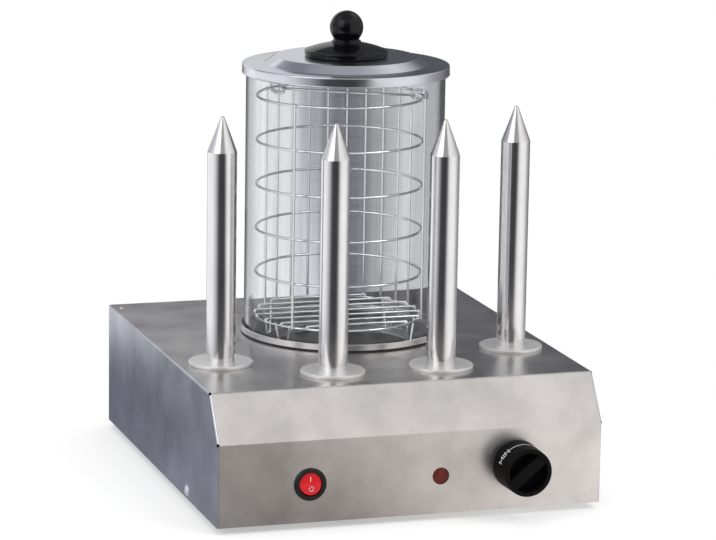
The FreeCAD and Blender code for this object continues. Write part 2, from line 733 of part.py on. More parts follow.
def basket_uprights():
    """Upright wires welded outside the rings: close at the rear, two in front."""
    low = BASKET_FIRST_RING - WIRE_FLATS / 2
    high = TOP_RING + WIRE_FLATS / 2
    radius = BASKET_R + WIRE_FLATS + WIRE_GAP
    bar = wire_bar(Vector(radius, 0, low), Vector(radius, 0, high))
    angles = REAR_UPRIGHT_ANGLES + FRONT_UPRIGHT_ANGLES
    return in_glass(Part.makeCompound([rotated(bar, Z_AXIS, angle) for angle in angles]))


def basket_grid():
    """Parallel wires across the lowest ring, on which the sausages stand."""
    z = BASKET_FIRST_RING + WIRE_FLATS / math.cos(math.pi / WIRE_SIDES) + WIRE_GAP
    bars = []
    for i in range(GRID_WIRES):
        y = (i - (GRID_WIRES - 1) / 2) * GRID_PITCH
        reach = math.sqrt(BASKET_R ** 2 - y ** 2)
        bars.append(wire_bar(Vector(-reach, y, z), Vector(reach, y, z)))
    return in_glass(Part.makeCompound(bars))


def basket_feet():
    """Bent wire feet from the lowest ring down to the ledge of the basin."""
    wire_r = WIRE_FLATS / math.cos(math.pi / WIRE_SIDES) / 2
    low = BASKET_SEAT_GAP + wire_r - LEDGE_DEPTH
    high = BASKET_FIRST_RING + WIRE_FLATS / 2
    top_r = BASKET_R - WIRE_FOOT_INSET
    low_r = LEDGE_R + WIRE_FOOT_ON_LEDGE
    feet_wires = []
    for angle in WIRE_FOOT_ANGLES:
        tops = [round_point(top_r, angle + s * WIRE_FOOT_TOP_ANGLE, high) for s in (-1, 1)]
        lows = [round_point(low_r, angle + s * WIRE_FOOT_LOW_ANGLE, low) for s in (-1, 1)]
        link = wire_bar(lows[0], lows[1])
        legs = [wire_bar(top, bottom) for top, bottom in zip(tops, lows)]
        feet_wires.append(link.fuse(legs))
    return in_glass(Part.makeCompound(feet_wires))


def basket_handle():
    """Half-round handle folded forward, with an eye round the top ring at each end.

    Each eye is upright at half swing, so it clears the wire at both ends.
    """
    limb_r = BASKET_R + WIRE_FLATS + HANDLE_EYE_GAP
    eye_place = math.sqrt(limb_r ** 2 - HANDLE_BACK ** 2) - HANDLE_EYE_R
    arc = wire_arc(eye_place - HANDLE_EYE_R, 180, 180)
    twist = 90 + HANDLE_SWING_ANGLE / 2 + HANDLE_REST_ANGLE
    eye = rotated(wire_arc(HANDLE_EYE_R, 0, 360), X_AXIS, twist)
    eyes = [moved(eye, side * eye_place, 0, 0) for side in (-1, 1)]
    handle = arc.fuse(eyes)
    handle = moved(rotated(handle, X_AXIS, -HANDLE_REST_ANGLE), 0, HANDLE_BACK, 0)
    handle = rotated(handle, Z_AXIS, HANDLE_ANGLE)
    return in_glass(moved(handle, 0, 0, TOP_RING))


# --------------------------------------------------------------- controls
def switch_body():
    """Round rocker switch: bezel in front, snap-in body behind, pivot bores."""
    bezel_r = SWITCH_BODY_R + SWITCH_BEZEL_W
    body = turned([
        (0, -SWITCH_BODY_L), (SWITCH_BODY_R, -SWITCH_BODY_L), (SWITCH_BODY_R, 0),
        (bezel_r, 0), (bezel_r, SWITCH_BEZEL_H, -SWITCH_BEZEL_EDGE),
        (SWITCH_WELL_R, SWITCH_BEZEL_H), (SWITCH_WELL_R, -SWITCH_WELL_DEPTH),
        (0, -SWITCH_WELL_DEPTH),
    ])
    bore_l = 2 * (SWITCH_WELL_R + ROCKER_PIN_GRIP + RUNNING_FIT)
    bore = Part.makeCylinder(ROCKER_PIN_R + RUNNING_FIT, bore_l,
                             Vector(-bore_l / 2, 0, -ROCKER_PIVOT_DEPTH), X_AXIS)
    return on_front(body.cut(bore), SWITCH_X, SWITCH_UP)


def rocker():
    """Round rocker whose two flats meet over its pivot, stored with the top pressed."""
    r = ROCKER_R
    back = -ROCKER_PIVOT_DEPTH - ROCKER_BACK
    edge = ROCKER_CENTRE_H + r * math.tan(math.radians(ROCKER_ANGLE))
    flats = prism([(-r, back), (r, back), (r, edge), (0, ROCKER_CENTRE_H), (-r, edge)],
                  2 * r)
    flats = rotated(flats, Z_AXIS, 90)
    drum = Part.makeCylinder(r, edge - back, Vector(0, 0, back))
    pin_end = SWITCH_WELL_R + ROCKER_PIN_GRIP
    pin = Part.makeCylinder(ROCKER_PIN_R, 2 * pin_end,
                            Vector(-pin_end, 0, -ROCKER_PIVOT_DEPTH), X_AXIS)
    body = flats.common(drum).fuse(pin)
    pivot = Vector(0, 0, -ROCKER_PIVOT_DEPTH)
    return on_front(rotated(body, X_AXIS, -ROCKER_ANGLE, pivot), SWITCH_X, SWITCH_UP)


def switch_terminals():
    blades = []
    for x in (-BLADE_SPREAD, BLADE_SPREAD):
        for y in (-BLADE_SPREAD, BLADE_SPREAD):
            blades.append(box(x - BLADE_W / 2, x + BLADE_W / 2, y - BLADE_T / 2,
                              y + BLADE_T / 2, -SWITCH_BODY_L - BLADE_L, -SWITCH_BODY_L))
    return on_front(Part.makeCompound(blades), SWITCH_X, SWITCH_UP)


def lamp_lens():
    """Domed lens that looks through the panel, held by its flange behind it."""
    rim = -LAMP_SINK
    dome_r = (LAMP_R ** 2 + LAMP_DOME_H ** 2) / (2 * LAMP_DOME_H)
    flange_r = LAMP_R + LAMP_FLANGE_W
    body = turned([
        (0, -SHEET - LAMP_FLANGE_H), (flange_r, -SHEET - LAMP_FLANGE_H),
        (flange_r, -SHEET), (LAMP_R, -SHEET), (LAMP_R, rim + LAMP_DOME_H),
        (0, rim + LAMP_DOME_H),
    ])
    ball = Part.makeSphere(dome_r, Vector(0, 0, rim + LAMP_DOME_H - dome_r))
    return on_front(body.common(ball), LAMP_X, LAMP_UP)


def lamp_body():
    """Lamp holder behind the lens with two solder pins."""
    front = -SHEET - LAMP_FLANGE_H
    holder = Part.makeCylinder(LAMP_BODY_R, LAMP_BODY_L, Vector(0, 0, front - LAMP_BODY_L))
    pins = [box(x - LAMP_PIN_W / 2, x + LAMP_PIN_W / 2, -BLADE_T / 2, BLADE_T / 2,
                front - LAMP_BODY_L - BLADE_L, front - LAMP_BODY_L + BLADE_T)
            for x in (-LAMP_PIN_X, LAMP_PIN_X)]
    return on_front(holder.fuse(pins), LAMP_X, LAMP_UP)


def thermostat_knob():
    """Round knob with a finger pocket on each side of its grip bar."""
    low, high = KNOB_GAP, KNOB_GAP + KNOB_H
    floor = high - KNOB_POCKET_DEPTH
    pocket_r = KNOB_FACE_R - KNOB_RIM
    body = turned([
        (0, low), (KNOB_BASE_R, low), (KNOB_FACE_R, high, -KNOB_BEVEL), (0, high),
    ])
    pocket = Part.makeCylinder(pocket_r, KNOB_POCKET_DEPTH, Vector(0, 0, floor))
    top_w, foot_w = KNOB_GRIP_TOP_W / 2, KNOB_GRIP_FOOT_W / 2
    grip_top = high - KNOB_GRIP_SINK
    grip = prism([
        (-foot_w, floor), (foot_w, floor), (top_w, grip_top, -KNOB_GRIP_BEVEL),
        (-top_w, grip_top, -KNOB_GRIP_BEVEL),
    ], 2 * pocket_r + KNOB_RIM)
    grip = rotated(grip, Z_AXIS, KNOB_GRIP_ANGLE - 90)
    hollow = turned([
        (KNOB_HUB_R, low), (KNOB_BASE_R - KNOB_SKIRT_T, low),
        (KNOB_FACE_R - KNOB_SKIRT_T, low + KNOB_HOLLOW_DEPTH),
        (KNOB_HUB_R, low + KNOB_HOLLOW_DEPTH),
    ])
    socket = Part.makeCylinder(SHAFT_R + RUNNING_FIT, SHAFT_SOCKET - KNOB_GAP,
                               Vector(0, 0, low))
    knob = body.cut([pocket.cut(grip), hollow, socket])
    return on_front(knob, KNOB_X, KNOB_UP)


def thermostat_shaft():
    """Shaft with a flat, from the thermostat's case into the knob."""
    start = -SHEET - BUSH_L - SHAFT_TAIL
    shaft = Part.makeCylinder(SHAFT_R, SHAFT_SOCKET - start, Vector(0, 0, start))
    flat = box(-SHAFT_R, SHAFT_R, SHAFT_R - SHAFT_FLAT, SHAFT_R, KNOB_GAP, SHAFT_SOCKET)
    return on_front(shaft.cut(flat), KNOB_X, KNOB_UP)


def thermostat_body():
    """Capillary thermostat behind the panel: bush, case and two blades."""
    bush_low = -SHEET - BUSH_L
    case = box(-CASE_W / 2, CASE_W / 2, -CASE_W / 2, CASE_W / 2,
               bush_low - CASE_L, bush_low)
    long_edges = [e for e in case.Edges if e.BoundBox.ZLength > CASE_L / 2]
    case = case.makeFillet(CASE_EDGE_R, long_edges)
    bush = Part.makeCylinder(BUSH_R, BUSH_L, Vector(0, 0, bush_low))
    bore_l = BUSH_L + SHAFT_TAIL + RUNNING_FIT
    bore = Part.makeCylinder(SHAFT_R + RUNNING_FIT, bore_l, Vector(0, 0, -SHEET - bore_l))
    low = bush_low - CASE_L
    blades = [box(x - BLADE_W / 2, x + BLADE_W / 2, -BLADE_T / 2, BLADE_T / 2,
                  low - BLADE_L, low + BLADE_T) for x in (-CASE_BLADE_X, CASE_BLADE_X)]
    body = case.fuse([bush] + blades).cut(bore)
    return on_front(body, KNOB_X, KNOB_UP)


# ---------------------------------------------------- supply at the rear
def cable_gland():
    """Cable gland in the rear panel: hexagon, domed cap and threaded tail."""
    tail_l = GLAND_THREAD_L + GLAND_SEAL_FROM
    collar = hexagon(GLAND_FLATS, GLAND_HEX_H)
    body = turned([
        (0, -GLAND_THREAD_L), (GLAND_THREAD_R, -GLAND_THREAD_L),
        (GLAND_THREAD_R, GLAND_HEX_H / 2), (GLAND_DOME_R, GLAND_HEX_H / 2),
        (GLAND_DOME_R, GLAND_L - GLAND_SHOULDER), (GLAND_MOUTH_R, GLAND_L), (0, GLAND_L),
    ])
    bores = [Part.makeCylinder(GLAND_BORE_R, GLAND_L),
             Part.makeCylinder(GLAND_TAIL_BORE_R, tail_l, Vector(0, 0, -GLAND_THREAD_L))]
    return on_rear(body.fuse(collar).cut(bores).removeSplitter(), GLAND_X, GLAND_UP)


def gland_nut():
    nut = hexagon(GLAND_FLATS, GLAND_NUT_H)
    nut = nut.cut(Part.makeCylinder(GLAND_THREAD_R + GLAND_NUT_CLEARANCE, GLAND_NUT_H))
    return on_rear(moved(nut, 0, 0, -SHEET - GLAND_NUT_H), GLAND_X, GLAND_UP)


def terminal_block():
    """Three-pole block on the base plate, with wire ways and clamp screw wells."""
    floor = HOUSING_Z + SHEET
    block = box(-BLOCK_W / 2, BLOCK_W / 2, -BLOCK_D / 2, BLOCK_D / 2, 0, BLOCK_H)
    holes = []
    for i in range(BLOCK_POLES):
        x = (i - (BLOCK_POLES - 1) / 2) * BLOCK_POLE_PITCH
        holes.append(Part.makeCylinder(BLOCK_WIRE_R, BLOCK_D,
                                       Vector(x, -BLOCK_D / 2, BLOCK_WIRE_UP), Y_AXIS))
        holes.append(Part.makeCylinder(BLOCK_SCREW_R, BLOCK_SCREW_DEPTH,
                                       Vector(x, 0, BLOCK_H - BLOCK_SCREW_DEPTH)))
    return moved(block.cut(holes), GLAND_X, REAR_Y - BLOCK_FROM_REAR, floor)


# --------------------------------------------------------------- assembly
def pieces():
    """Every piece of the appliance in its place, by name."""
    parts = {
        "base_plate": base_plate(),
        "side_screws": side_screws(),
        "basin_gasket": at_glass(basin_gasket()),
        "basin_rim": at_glass(basin_rim()),
        "water_basin": at_glass(water_basin()),
        "base_ring": at_glass(base_ring()),
        "plate_heater": at_glass(plate_heater()),
        "glass_cylinder": at_glass(glass_cylinder()),
        "lid": at_glass(lid()),
        "lid_skirt": at_glass(lid_skirt()),
        "lid_knob": at_glass(lid_knob()),
        "lid_knob_screw": at_glass(lid_knob_screw()),
        "basket_uprights": basket_uprights(),
        "basket_grid": basket_grid(),
        "basket_feet": basket_feet(),
        "basket_handle": basket_handle(),
        "switch_body": switch_body(),
        "switch_rocker": rocker(),
        "switch_terminals": switch_terminals(),
        "lamp_lens": lamp_lens(),
        "lamp_body": lamp_body(),
        "thermostat_knob": thermostat_knob(),
        "thermostat_shaft": thermostat_shaft(),
        "thermostat_body": thermostat_body(),
        "cable_gland": cable_gland(),
        "gland_nut": gland_nut(),
        "terminal_block": terminal_block(),
    }
    parts.update(housing_shell())
    parts.update(feet())
    parts.update(spikes())
    parts.update(basket_rings())
    return parts


os.makedirs("parts", exist_ok=True)
for node, shape in pieces().items():
    print("%-22s %d solids, %.1f cm3, valid %s"
          % (node, len(shape.Solids), shape.Volume / 1000, shape.isValid()))
    shape.exportStep("parts/%s.step" % node)
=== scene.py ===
import math

import bmesh
import bpy
from mathutils import Matrix, Vector
from mathutils.bvhtree import BVHTree
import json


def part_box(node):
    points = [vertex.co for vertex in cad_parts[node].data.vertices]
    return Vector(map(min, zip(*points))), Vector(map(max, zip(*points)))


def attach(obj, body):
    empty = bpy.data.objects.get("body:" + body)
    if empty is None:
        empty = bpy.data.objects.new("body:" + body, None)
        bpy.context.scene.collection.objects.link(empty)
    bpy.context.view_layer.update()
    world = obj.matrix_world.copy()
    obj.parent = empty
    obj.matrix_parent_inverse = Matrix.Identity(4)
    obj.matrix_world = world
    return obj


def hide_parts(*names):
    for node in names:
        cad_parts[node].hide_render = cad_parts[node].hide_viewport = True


# Counter-top hot dog maker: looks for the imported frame. Metres, +Z up, front at -Y.

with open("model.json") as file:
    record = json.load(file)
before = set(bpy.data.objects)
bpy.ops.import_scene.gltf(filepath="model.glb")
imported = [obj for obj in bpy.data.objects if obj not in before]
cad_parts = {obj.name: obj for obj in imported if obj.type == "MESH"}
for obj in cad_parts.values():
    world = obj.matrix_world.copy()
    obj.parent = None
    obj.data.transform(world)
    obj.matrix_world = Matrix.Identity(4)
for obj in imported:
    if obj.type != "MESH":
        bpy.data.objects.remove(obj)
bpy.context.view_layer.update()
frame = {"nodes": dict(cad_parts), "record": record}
NODES = frame["nodes"]

# ------------------------------------------------------------------ sizes
MM = 0.001
ROUND = 128                     # segments round a turned piece
SMALL_ROUND = 32                # and round a small one
TINY = 1e-6

CAMERA_PLACE = Vector((-0.93835, -2.95726, 0.83077))
CAMERA_AIM = Vector((-0.05246, -0.1915, 0.22602))
CAMERA_ROLL = math.radians(0.93)
CAMERA_LENS = 175.27
CAMERA_SENSOR = 36.0


def middle(node):
    """Middle of a node's box."""
    low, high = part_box(node)
    return (low + high) / 2


def half_width(node):
    """Half of a node's box along X."""
    low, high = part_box(node)
    return (high.x - low.x) / 2


GLASS = middle("glass_cylinder")
DECK_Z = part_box("housing_shell")[1].z
FRONT_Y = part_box("housing_shell")[0].y
LEFT_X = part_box("side_panel_left")[0].x
RIGHT_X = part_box("side_panel_right")[1].x

LID_R = half_width("lid_skirt")
LID_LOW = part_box("lid_skirt")[0].z
LID_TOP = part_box("lid_skirt")[1].z
PLATEAU_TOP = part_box("lid")[1].z
LID_SHEET = 0.9 * MM
LID_BEAD_R = 0.75 * MM
LID_BEND_R = 1.2 * MM
LID_RIM_W = 20.5 * MM
PLATEAU_SLOPE_W = 10.0 * MM
PLATEAU_FOOT_R = LID_R - LID_RIM_W
PLATEAU_R = PLATEAU_FOOT_R - PLATEAU_SLOPE_W
PLATEAU_BEND_R = 1.5 * MM
LID_HOLE_R = 2.1 * MM

# knob of the lid, heights above the plateau
KNOB_FLANGE_R = half_width("lid_knob")
KNOB_FLANGE_EDGE = 5.3 * MM
KNOB_DOME_H = 13.1 * MM
KNOB_COLLAR_R = 13.4 * MM
KNOB_COLLAR_UP = 14.2 * MM
KNOB_WAIST_R = 11.8 * MM
KNOB_BALL_R = 15.3 * MM
KNOB_BALL_UP = 26.1 * MM
KNOB_HOLE_L = 16.0 * MM
KNOB_RIM_W = 1.6 * MM           # rounded rim outside the dome
KNOB_RIM_BENDS = (1.8 * MM, 1.5 * MM)
KNOB_COLLAR_GAP = 1.2 * MM      # from the collar to the end of the dome
KNOB_COLLAR_BENDS = (0.5 * MM, 0.7 * MM, 0.5 * MM)
KNOB_EDGE_RISE = 0.3 * MM       # of rim and collar past the ends of the dome
KNOB_NECK = 0.2 * MM            # from the waist to the start of the ball
DOME_STEPS, BALL_STEPS = 14, 28

WIRE_R = 1.15 * MM
WIRE_GAP = 0.05 * MM
RINGS = ["basket_ring_%d" % (i + 1) for i in range(6)]
BASKET = middle("basket_ring_1")
RING_R = half_width("basket_ring_1") - WIRE_R
UPRIGHT_R = RING_R + 2 * WIRE_R + WIRE_GAP
UPRIGHT_ANGLES = [14.5 + 13.3 * i for i in range(10)] + [-138.0, -30.0]
GRID_PITCH = 20.0 * MM
GRID_WIRES = 7
WELD_SIZE = (1.1 * WIRE_R, 1.1 * WIRE_R, 0.8 * WIRE_R)
GRID_WELD_SIZE = (1.3 * WIRE_R,) * 3
FOOT_ANGLES = [-149.5, -41.5, 30.0, 138.0]
FOOT_TOP_ANGLE, FOOT_LOW_ANGLE = 7.0, 2.2
FOOT_TOP_R = RING_R - 2.8 * MM
FOOT_LOW_R = 71.4 * MM
FOOT_BEND_R = 2.2 * MM
FOOT_WIRE_UP = 1.16 * WIRE_R    # middle of the wire above the lowest corners of the CAD's wire
HANDLE_ANGLE = math.radians(-32.7)
HANDLE_BACK = 25.6 * MM
HANDLE_REST = math.radians(8.0)
HANDLE_SWING = math.radians(82.0)
EYE_R = 7.0 * MM
EYE_GAP = 1.2 * MM              # from the top ring to the ends of the bow
EYE_PLACE = math.sqrt((RING_R + 2 * WIRE_R + EYE_GAP) ** 2 - HANDLE_BACK ** 2) - EYE_R
EYE_TURNS = 2
EYE_PITCH = 2.1                 # wire radii from turn to turn
EYE_SWEEP = 2 * math.pi * EYE_TURNS - 0.01
RING_STEPS, BOW_STEPS, EYE_STEPS = 96, 65, 40 * EYE_TURNS + 1

# thermostat knob, printed marks and small hardware
KNOB = middle("thermostat_knob")
KNOB_FACE_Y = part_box("thermostat_knob")[0].y
KNOB_BACK_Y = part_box("thermostat_knob")[1].y
KNOB_BASE_R = half_width("thermostat_knob")
KNOB_FACE_R = 21.3 * MM
MARK_T = 0.06 * MM              # thickness of printed marks
MARKS_DEPTH = 19.0 * MM         # tops of the letters behind the face
MARKS_ANGLE = math.radians(163)
MARKS_H = 6.0 * MM
SCALE_GAP = 1.2 * MM            # from the word to the scale line
SCALE_SWEEP = 1.2               # radians from the word's end to the end of the scale line
SCALE_STEPS = 30
WORD_LINE_W, SCALE_LINE_W = 0.7 * MM, 0.9 * MM
ON_LINE = (2.6 * MM, 6.4 * MM)  # ends of the I above the middle of the rocker
OFF_RING_R = 1.9 * MM
OFF_RING_SIDE, OFF_RING_DOWN = 0.5 * MM, 3.9 * MM
OFF_RING_STEPS, OFF_RING_SWEEP = 33, 2 * math.pi - 1e-4
ROCKER_LINE_W = 0.6 * MM
SCREW_R = 4.4 * MM
SCREW_HEAD_R = 5.3 * MM
SCREW_HEAD_H = 2.2 * MM
CROSS_SLOT, CROSS_REACH, CROSS_DEPTH = 0.16, 0.62, 0.45     # shares of a head's radius, height
PLUG_R, PLUG_IN, PLUG_OUT = 3.0 * MM, 1.0 * MM, 0.03 * MM
RELIEF_R = 1.3 * MM
RELIEF_FLAT = 0.3 * MM          # half thickness of the right beads
RELIEF_IN = 0.5 * MM            # how far the left beads are sunk
RELIEF_SIDES, RELIEF_ROWS = 16, 10
SLOPE_TOP = (-163.8 * MM, 118.1 * MM)       # (y, z) of the bends above and below the slope
SLOPE_FOOT = (-191.1 * MM, 79.3 * MM)
RIVET_R = 2.0 * MM
RIVET_H = 0.8 * MM
RIVET_IN = 0.4 * MM
RIVET_PLACE = (-167.3 * MM, 182.4 * MM, DECK_Z)


# -------------------------------------------------------------- mesh tools
def circle(steps, start=0.0, sweep=2 * math.pi):
    """Angles round a full circle, or round a part of it with both ends."""
    whole = abs(sweep - 2 * math.pi) < TINY
    last = steps if whole else steps - 1
    return [start + sweep * k / last for k in range(steps)]


def round_point(radius, angle, height):
    """Point at an angle on a circle round the Z axis."""
    return Vector((radius * math.cos(angle), radius * math.sin(angle), height))


def rounded(corners, steps=6):
    """(a, b) points of an outline whose (a, b, radius) corners are turned into arcs."""
    points, count = [], len(corners)
    for i, corner in enumerate(corners):
        here = Vector(corner[:2])
        radius = corner[2] if len(corner) > 2 else 0
        if not radius:
            points.append(here)
            continue
        back = (Vector(corners[i - 1][:2]) - here).normalized()
        ahead = (Vector(corners[(i + 1) % count][:2]) - here).normalized()
        half = back.angle(ahead) / 2
        centre = here + (back + ahead).normalized() * (radius / math.sin(half))
        start = (here + back * (radius / math.tan(half)) - centre).normalized()
        end = (here + ahead * (radius / math.tan(half)) - centre).normalized()
        for k in range(steps + 1):
            points.append(centre + radius * start.slerp(end, k / steps))
    return points


def sheet_section(line, thickness):
    """Closed outline of a sheet from the (a, b) points of its outer line."""
    inner = []
    for i, point in enumerate(line):
        before, after = line[max(i - 1, 0)], line[min(i + 1, len(line) - 1)]
        way = (after - before).normalized()
        inner.append(point + Vector((way.y, -way.x)) * thickness)
    return list(line) + inner[::-1]


def bent(corners, radius, steps=5):
    """Path through 3D corners whose inner corners are bent by a radius."""
    path = [corners[0]]
    for before, here, after in zip(corners, corners[1:], corners[2:]):
        back, ahead = (before - here).normalized(), (after - here).normalized()
        reach = radius / math.tan(back.angle(ahead) / 2)
        start, end = here + back * reach, here + ahead * reach
        for k in range(steps + 1):
            t = k / steps
            path.append((1 - t) ** 2 * start + 2 * t * (1 - t) * here + t ** 2 * end)
    return path + [corners[-1]]


def lathe(outline, sides=ROUND):
    """Closed (radius, height) outline turned round the Z axis."""
    verts, faces, rings = [], [], []
    for radius, height in outline:
        if radius < TINY:
            rings.append([len(verts)] * sides)
            verts.append(Vector((0, 0, height)))
            continue
        rings.append(list(range(len(verts), len(verts) + sides)))
        verts += [round_point(radius, angle, height) for angle in circle(sides)]
    for i, low in enumerate(rings):
        high = rings[(i + 1) % len(rings)]
        for k in range(sides):
            n = (k + 1) % sides
            loop = list(dict.fromkeys([low[k], low[n], high[n], high[k]]))
            if len(loop) > 2:
                faces.append(loop)
    return verts, faces


def tube(path, radius, sides=12, closed=False, tip_share=0.4):
    """Round wire along a path of points; its ends stand out by a share of the radius."""
    count = len(path)
    verts, faces = [], []
    side = None
    for i, point in enumerate(path):
        if closed:
            way = (path[(i + 1) % count] - path[i - 1]).normalized()
        else:
            way = (path[min(i + 1, count - 1)] - path[max(i - 1, 0)]).normalized()
        if side is None:
            side = way.orthogonal().normalized()
        side = (side - way * side.dot(way)).normalized()
        up = way.cross(side)
        verts += [point + radius * (side * math.cos(angle) + up * math.sin(angle))
                  for angle in circle(sides)]
    for i in range(count if closed else count - 1):
        low, high = i * sides, (i + 1) % count * sides
        for k in range(sides):
            n = (k + 1) % sides
            faces.append([low + k, low + n, high + n, high + k])
    if not closed:
        for end, inward in ((0, 1), (count - 1, count - 2)):
            tip = path[end] + (path[end] - path[inward]).normalized() * radius * tip_share
            verts.append(tip)
            for k in range(sides):
                faces.append([end * sides + k, end * sides + (k + 1) % sides, len(verts) - 1])
    return verts, faces


def blob(centre, size, sides=10, rows=6):
    """Small melted bead of weld metal, as an ellipsoid with three half sizes."""
    outline = [(math.sin(math.pi * j / rows), -math.cos(math.pi * j / rows))
               for j in range(rows + 1)]
    verts, faces = lathe(outline, sides)
    return [centre + Vector((v.x * size[0], v.y * size[1], v.z * size[2])) for v in verts], faces


def joined(shapes):
    """One (verts, faces) from several."""
    verts, faces = [], []
    for more_verts, more_faces in shapes:
        start = len(verts)
        verts += more_verts
        faces += [[start + i for i in face] for face in more_faces]
    return verts, faces


def placed(shape, matrix):
    verts, faces = shape
    return [matrix @ v for v in verts], faces


def over(place, shape, height=0.0):
    """A shape that was made round the Z axis, moved over a place."""
    return placed(shape, Matrix.Translation((place.x, place.y, height)))


def added(name, data):
    """New object in the scene for a mesh, a light or a camera."""
    obj = bpy.data.objects.new(name, data)
    bpy.context.scene.collection.objects.link(obj)
    return obj


def piece(name, shape, body, slot, nodes=(), look=None, sharp=35.0):
    """Mesh object from (verts, faces) that rides on a body and may stand for CAD nodes.

    It has the material of its slot, unless another one is named as its look."""
    verts, faces = shape
    mesh = bpy.data.meshes.new(name)
    mesh.from_pydata([tuple(v) for v in verts], [], faces)
    shaped = bmesh.new()
    shaped.from_mesh(mesh)
    bmesh.ops.recalc_face_normals(shaped, faces=shaped.faces)
    shaped.to_mesh(mesh)
    shaped.free()
    mesh.polygons.foreach_set("use_smooth", [True] * len(mesh.polygons))
    mesh.set_sharp_from_angle(angle=math.radians(sharp))
    mesh.materials.append(MATERIALS[look or slot])
    obj = added(name, mesh)
    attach(obj, body)
    if nodes:
        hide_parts(*nodes)


# ---------------------------------------------------------- material tools
NOISE_LOW, NOISE_HIGH = 0.3, 0.7        # most of a noise value lies between them


def new_material(name):
    """Material with its node tree and its main shader."""
    material = bpy.data.materials.new(name)
    material.use_nodes = True
    tree = material.node_tree
    return material, tree, tree.nodes["Principled BSDF"]


def feed(tree, source, socket):
    """Gives a socket a number, a colour or what comes out of another node."""
    if isinstance(source, bpy.types.NodeSocket):
        tree.links.new(source, socket)
    elif isinstance(source, tuple):
        socket.default_value = (*source, 1.0)
    else:
        socket.default_value = source


def texture_place(tree, scale=(1, 1, 1), shift=(0, 0, 0)):
    """Position on the part in metres, stretched by the given scale and then shifted."""
    coordinates = tree.nodes.new("ShaderNodeTexCoord")
    mapping = tree.nodes.new("ShaderNodeMapping")
    mapping.inputs["Scale"].default_value = scale
    mapping.inputs["Location"].default_value = shift
    tree.links.new(coordinates.outputs["Object"], mapping.inputs["Vector"])
    return mapping.outputs["Vector"]


def noise(tree, scale, detail=4.0, rough=0.55):
    """Noise value whose cells are 1 / scale metres along X, Y and Z."""
    node = tree.nodes.new("ShaderNodeTexNoise")
    node.inputs["Scale"].default_value = 1.0
    node.inputs["Detail"].default_value = detail
    node.inputs["Roughness"].default_value = rough
    tree.links.new(texture_place(tree, scale), node.inputs["Vector"])
    return node.outputs["Fac"]


def ramp(tree, value, stops, blend="LINEAR"):
    """Colour ramp with (place, colour) stops."""
    node = tree.nodes.new("ShaderNodeValToRGB")
    node.color_ramp.interpolation = blend
    elements = node.color_ramp.elements
    while len(elements) < len(stops):
        elements.new(0.5)
    for element, (place, colour) in zip(elements, stops):
        element.position = place
        element.color = (*colour, 1.0)
    tree.links.new(value, node.inputs["Fac"])
    return node.outputs["Color"]


def map_range(tree, value, low, high, to_low=0.0, to_high=1.0):
    """to_low up to a value of low, to_high from high on, and in proportion between them."""
    node = tree.nodes.new("ShaderNodeMapRange")
    node.inputs["From Min"].default_value = low
    node.inputs["From Max"].default_value = high
    node.inputs["To Min"].default_value = to_low
    node.inputs["To Max"].default_value = to_high
    tree.links.new(value, node.inputs["Value"])
    return node.outputs["Result"]


def spread(tree, value, low, high):
    """Spreads a noise value over low ... high."""
    return map_range(tree, value, NOISE_LOW, NOISE_HIGH, low, high)


def math_value(tree, operation, first, second):
    """Result of an operation on two numbers or sockets."""
    node = tree.nodes.new("ShaderNodeMath")
    node.operation = operation
    feed(tree, first, node.inputs[0])
    feed(tree, second, node.inputs[1])
    return node.outputs[0]


def average(tree, first, second):
    """Half way between two values."""
    node = tree.nodes.new("ShaderNodeMix")
    node.data_type = "FLOAT"
    node.inputs[0].default_value = 0.5
    feed(tree, first, node.inputs[2])
    feed(tree, second, node.inputs[3])
    return node.outputs[0]


def mixed_colour(tree, part, first, second):
    """From the first colour, at 0, to the second, at 1."""
    node = tree.nodes.new("ShaderNodeMix")
    node.data_type = "RGBA"
    feed(tree, part, node.inputs[0])
    feed(tree, first, node.inputs[6])
    feed(tree, second, node.inputs[7])
    return node.outputs[2]


def mixed_shader(tree, part, first, second):
    """From the first shader, at 0, to the second, at 1."""
    node = tree.nodes.new("ShaderNodeMixShader")
    feed(tree, part, node.inputs["Fac"])
    feed(tree, first, node.inputs[1])
    feed(tree, second, node.inputs[2])
    return node.outputs[0]


def emission(tree, colour):
    """Shader that glows in a colour."""
    node = tree.nodes.new("ShaderNodeEmission")
    feed(tree, colour, node.inputs["Color"])
    return node.outputs[0]


def bump(tree, shader, height, depth):
    """Raises a shader's surface by a value times a depth."""
    node = tree.nodes.new("ShaderNodeBump")
    node.inputs["Distance"].default_value = depth
    node.inputs["Strength"].default_value = 1.0
    tree.links.new(height, node.inputs["Height"])
    tree.links.new(node.outputs["Normal"], shader.inputs["Normal"])


def metal(name, tint, grain, rough, contrast=0.08, depth=0.003 * MM, mottle=24.0, metallic=1.0):
    """Brushed or polished metal: grain gives noise cells per metre along X, Y and Z."""
    material, tree, shader = new_material(name)
    shader.inputs["Metallic"].default_value = metallic
    fine = noise(tree, grain, detail=3.0)
    broad = noise(tree, (mottle,) * 3, detail=5.0)
    both = average(tree, fine, broad)
    dark = tuple(c * (1 - contrast) for c in tint)
    light = tuple(min(c * (1 + contrast), 1.0) for c in tint)
    colour = ramp(tree, broad, [(0.32, dark), (0.68, light)])
    tree.links.new(colour, shader.inputs["Base Color"])
    tree.links.new(spread(tree, both, rough * 0.85, rough * 1.15), shader.inputs["Roughness"])
    bump(tree, shader, fine, depth)
    return material


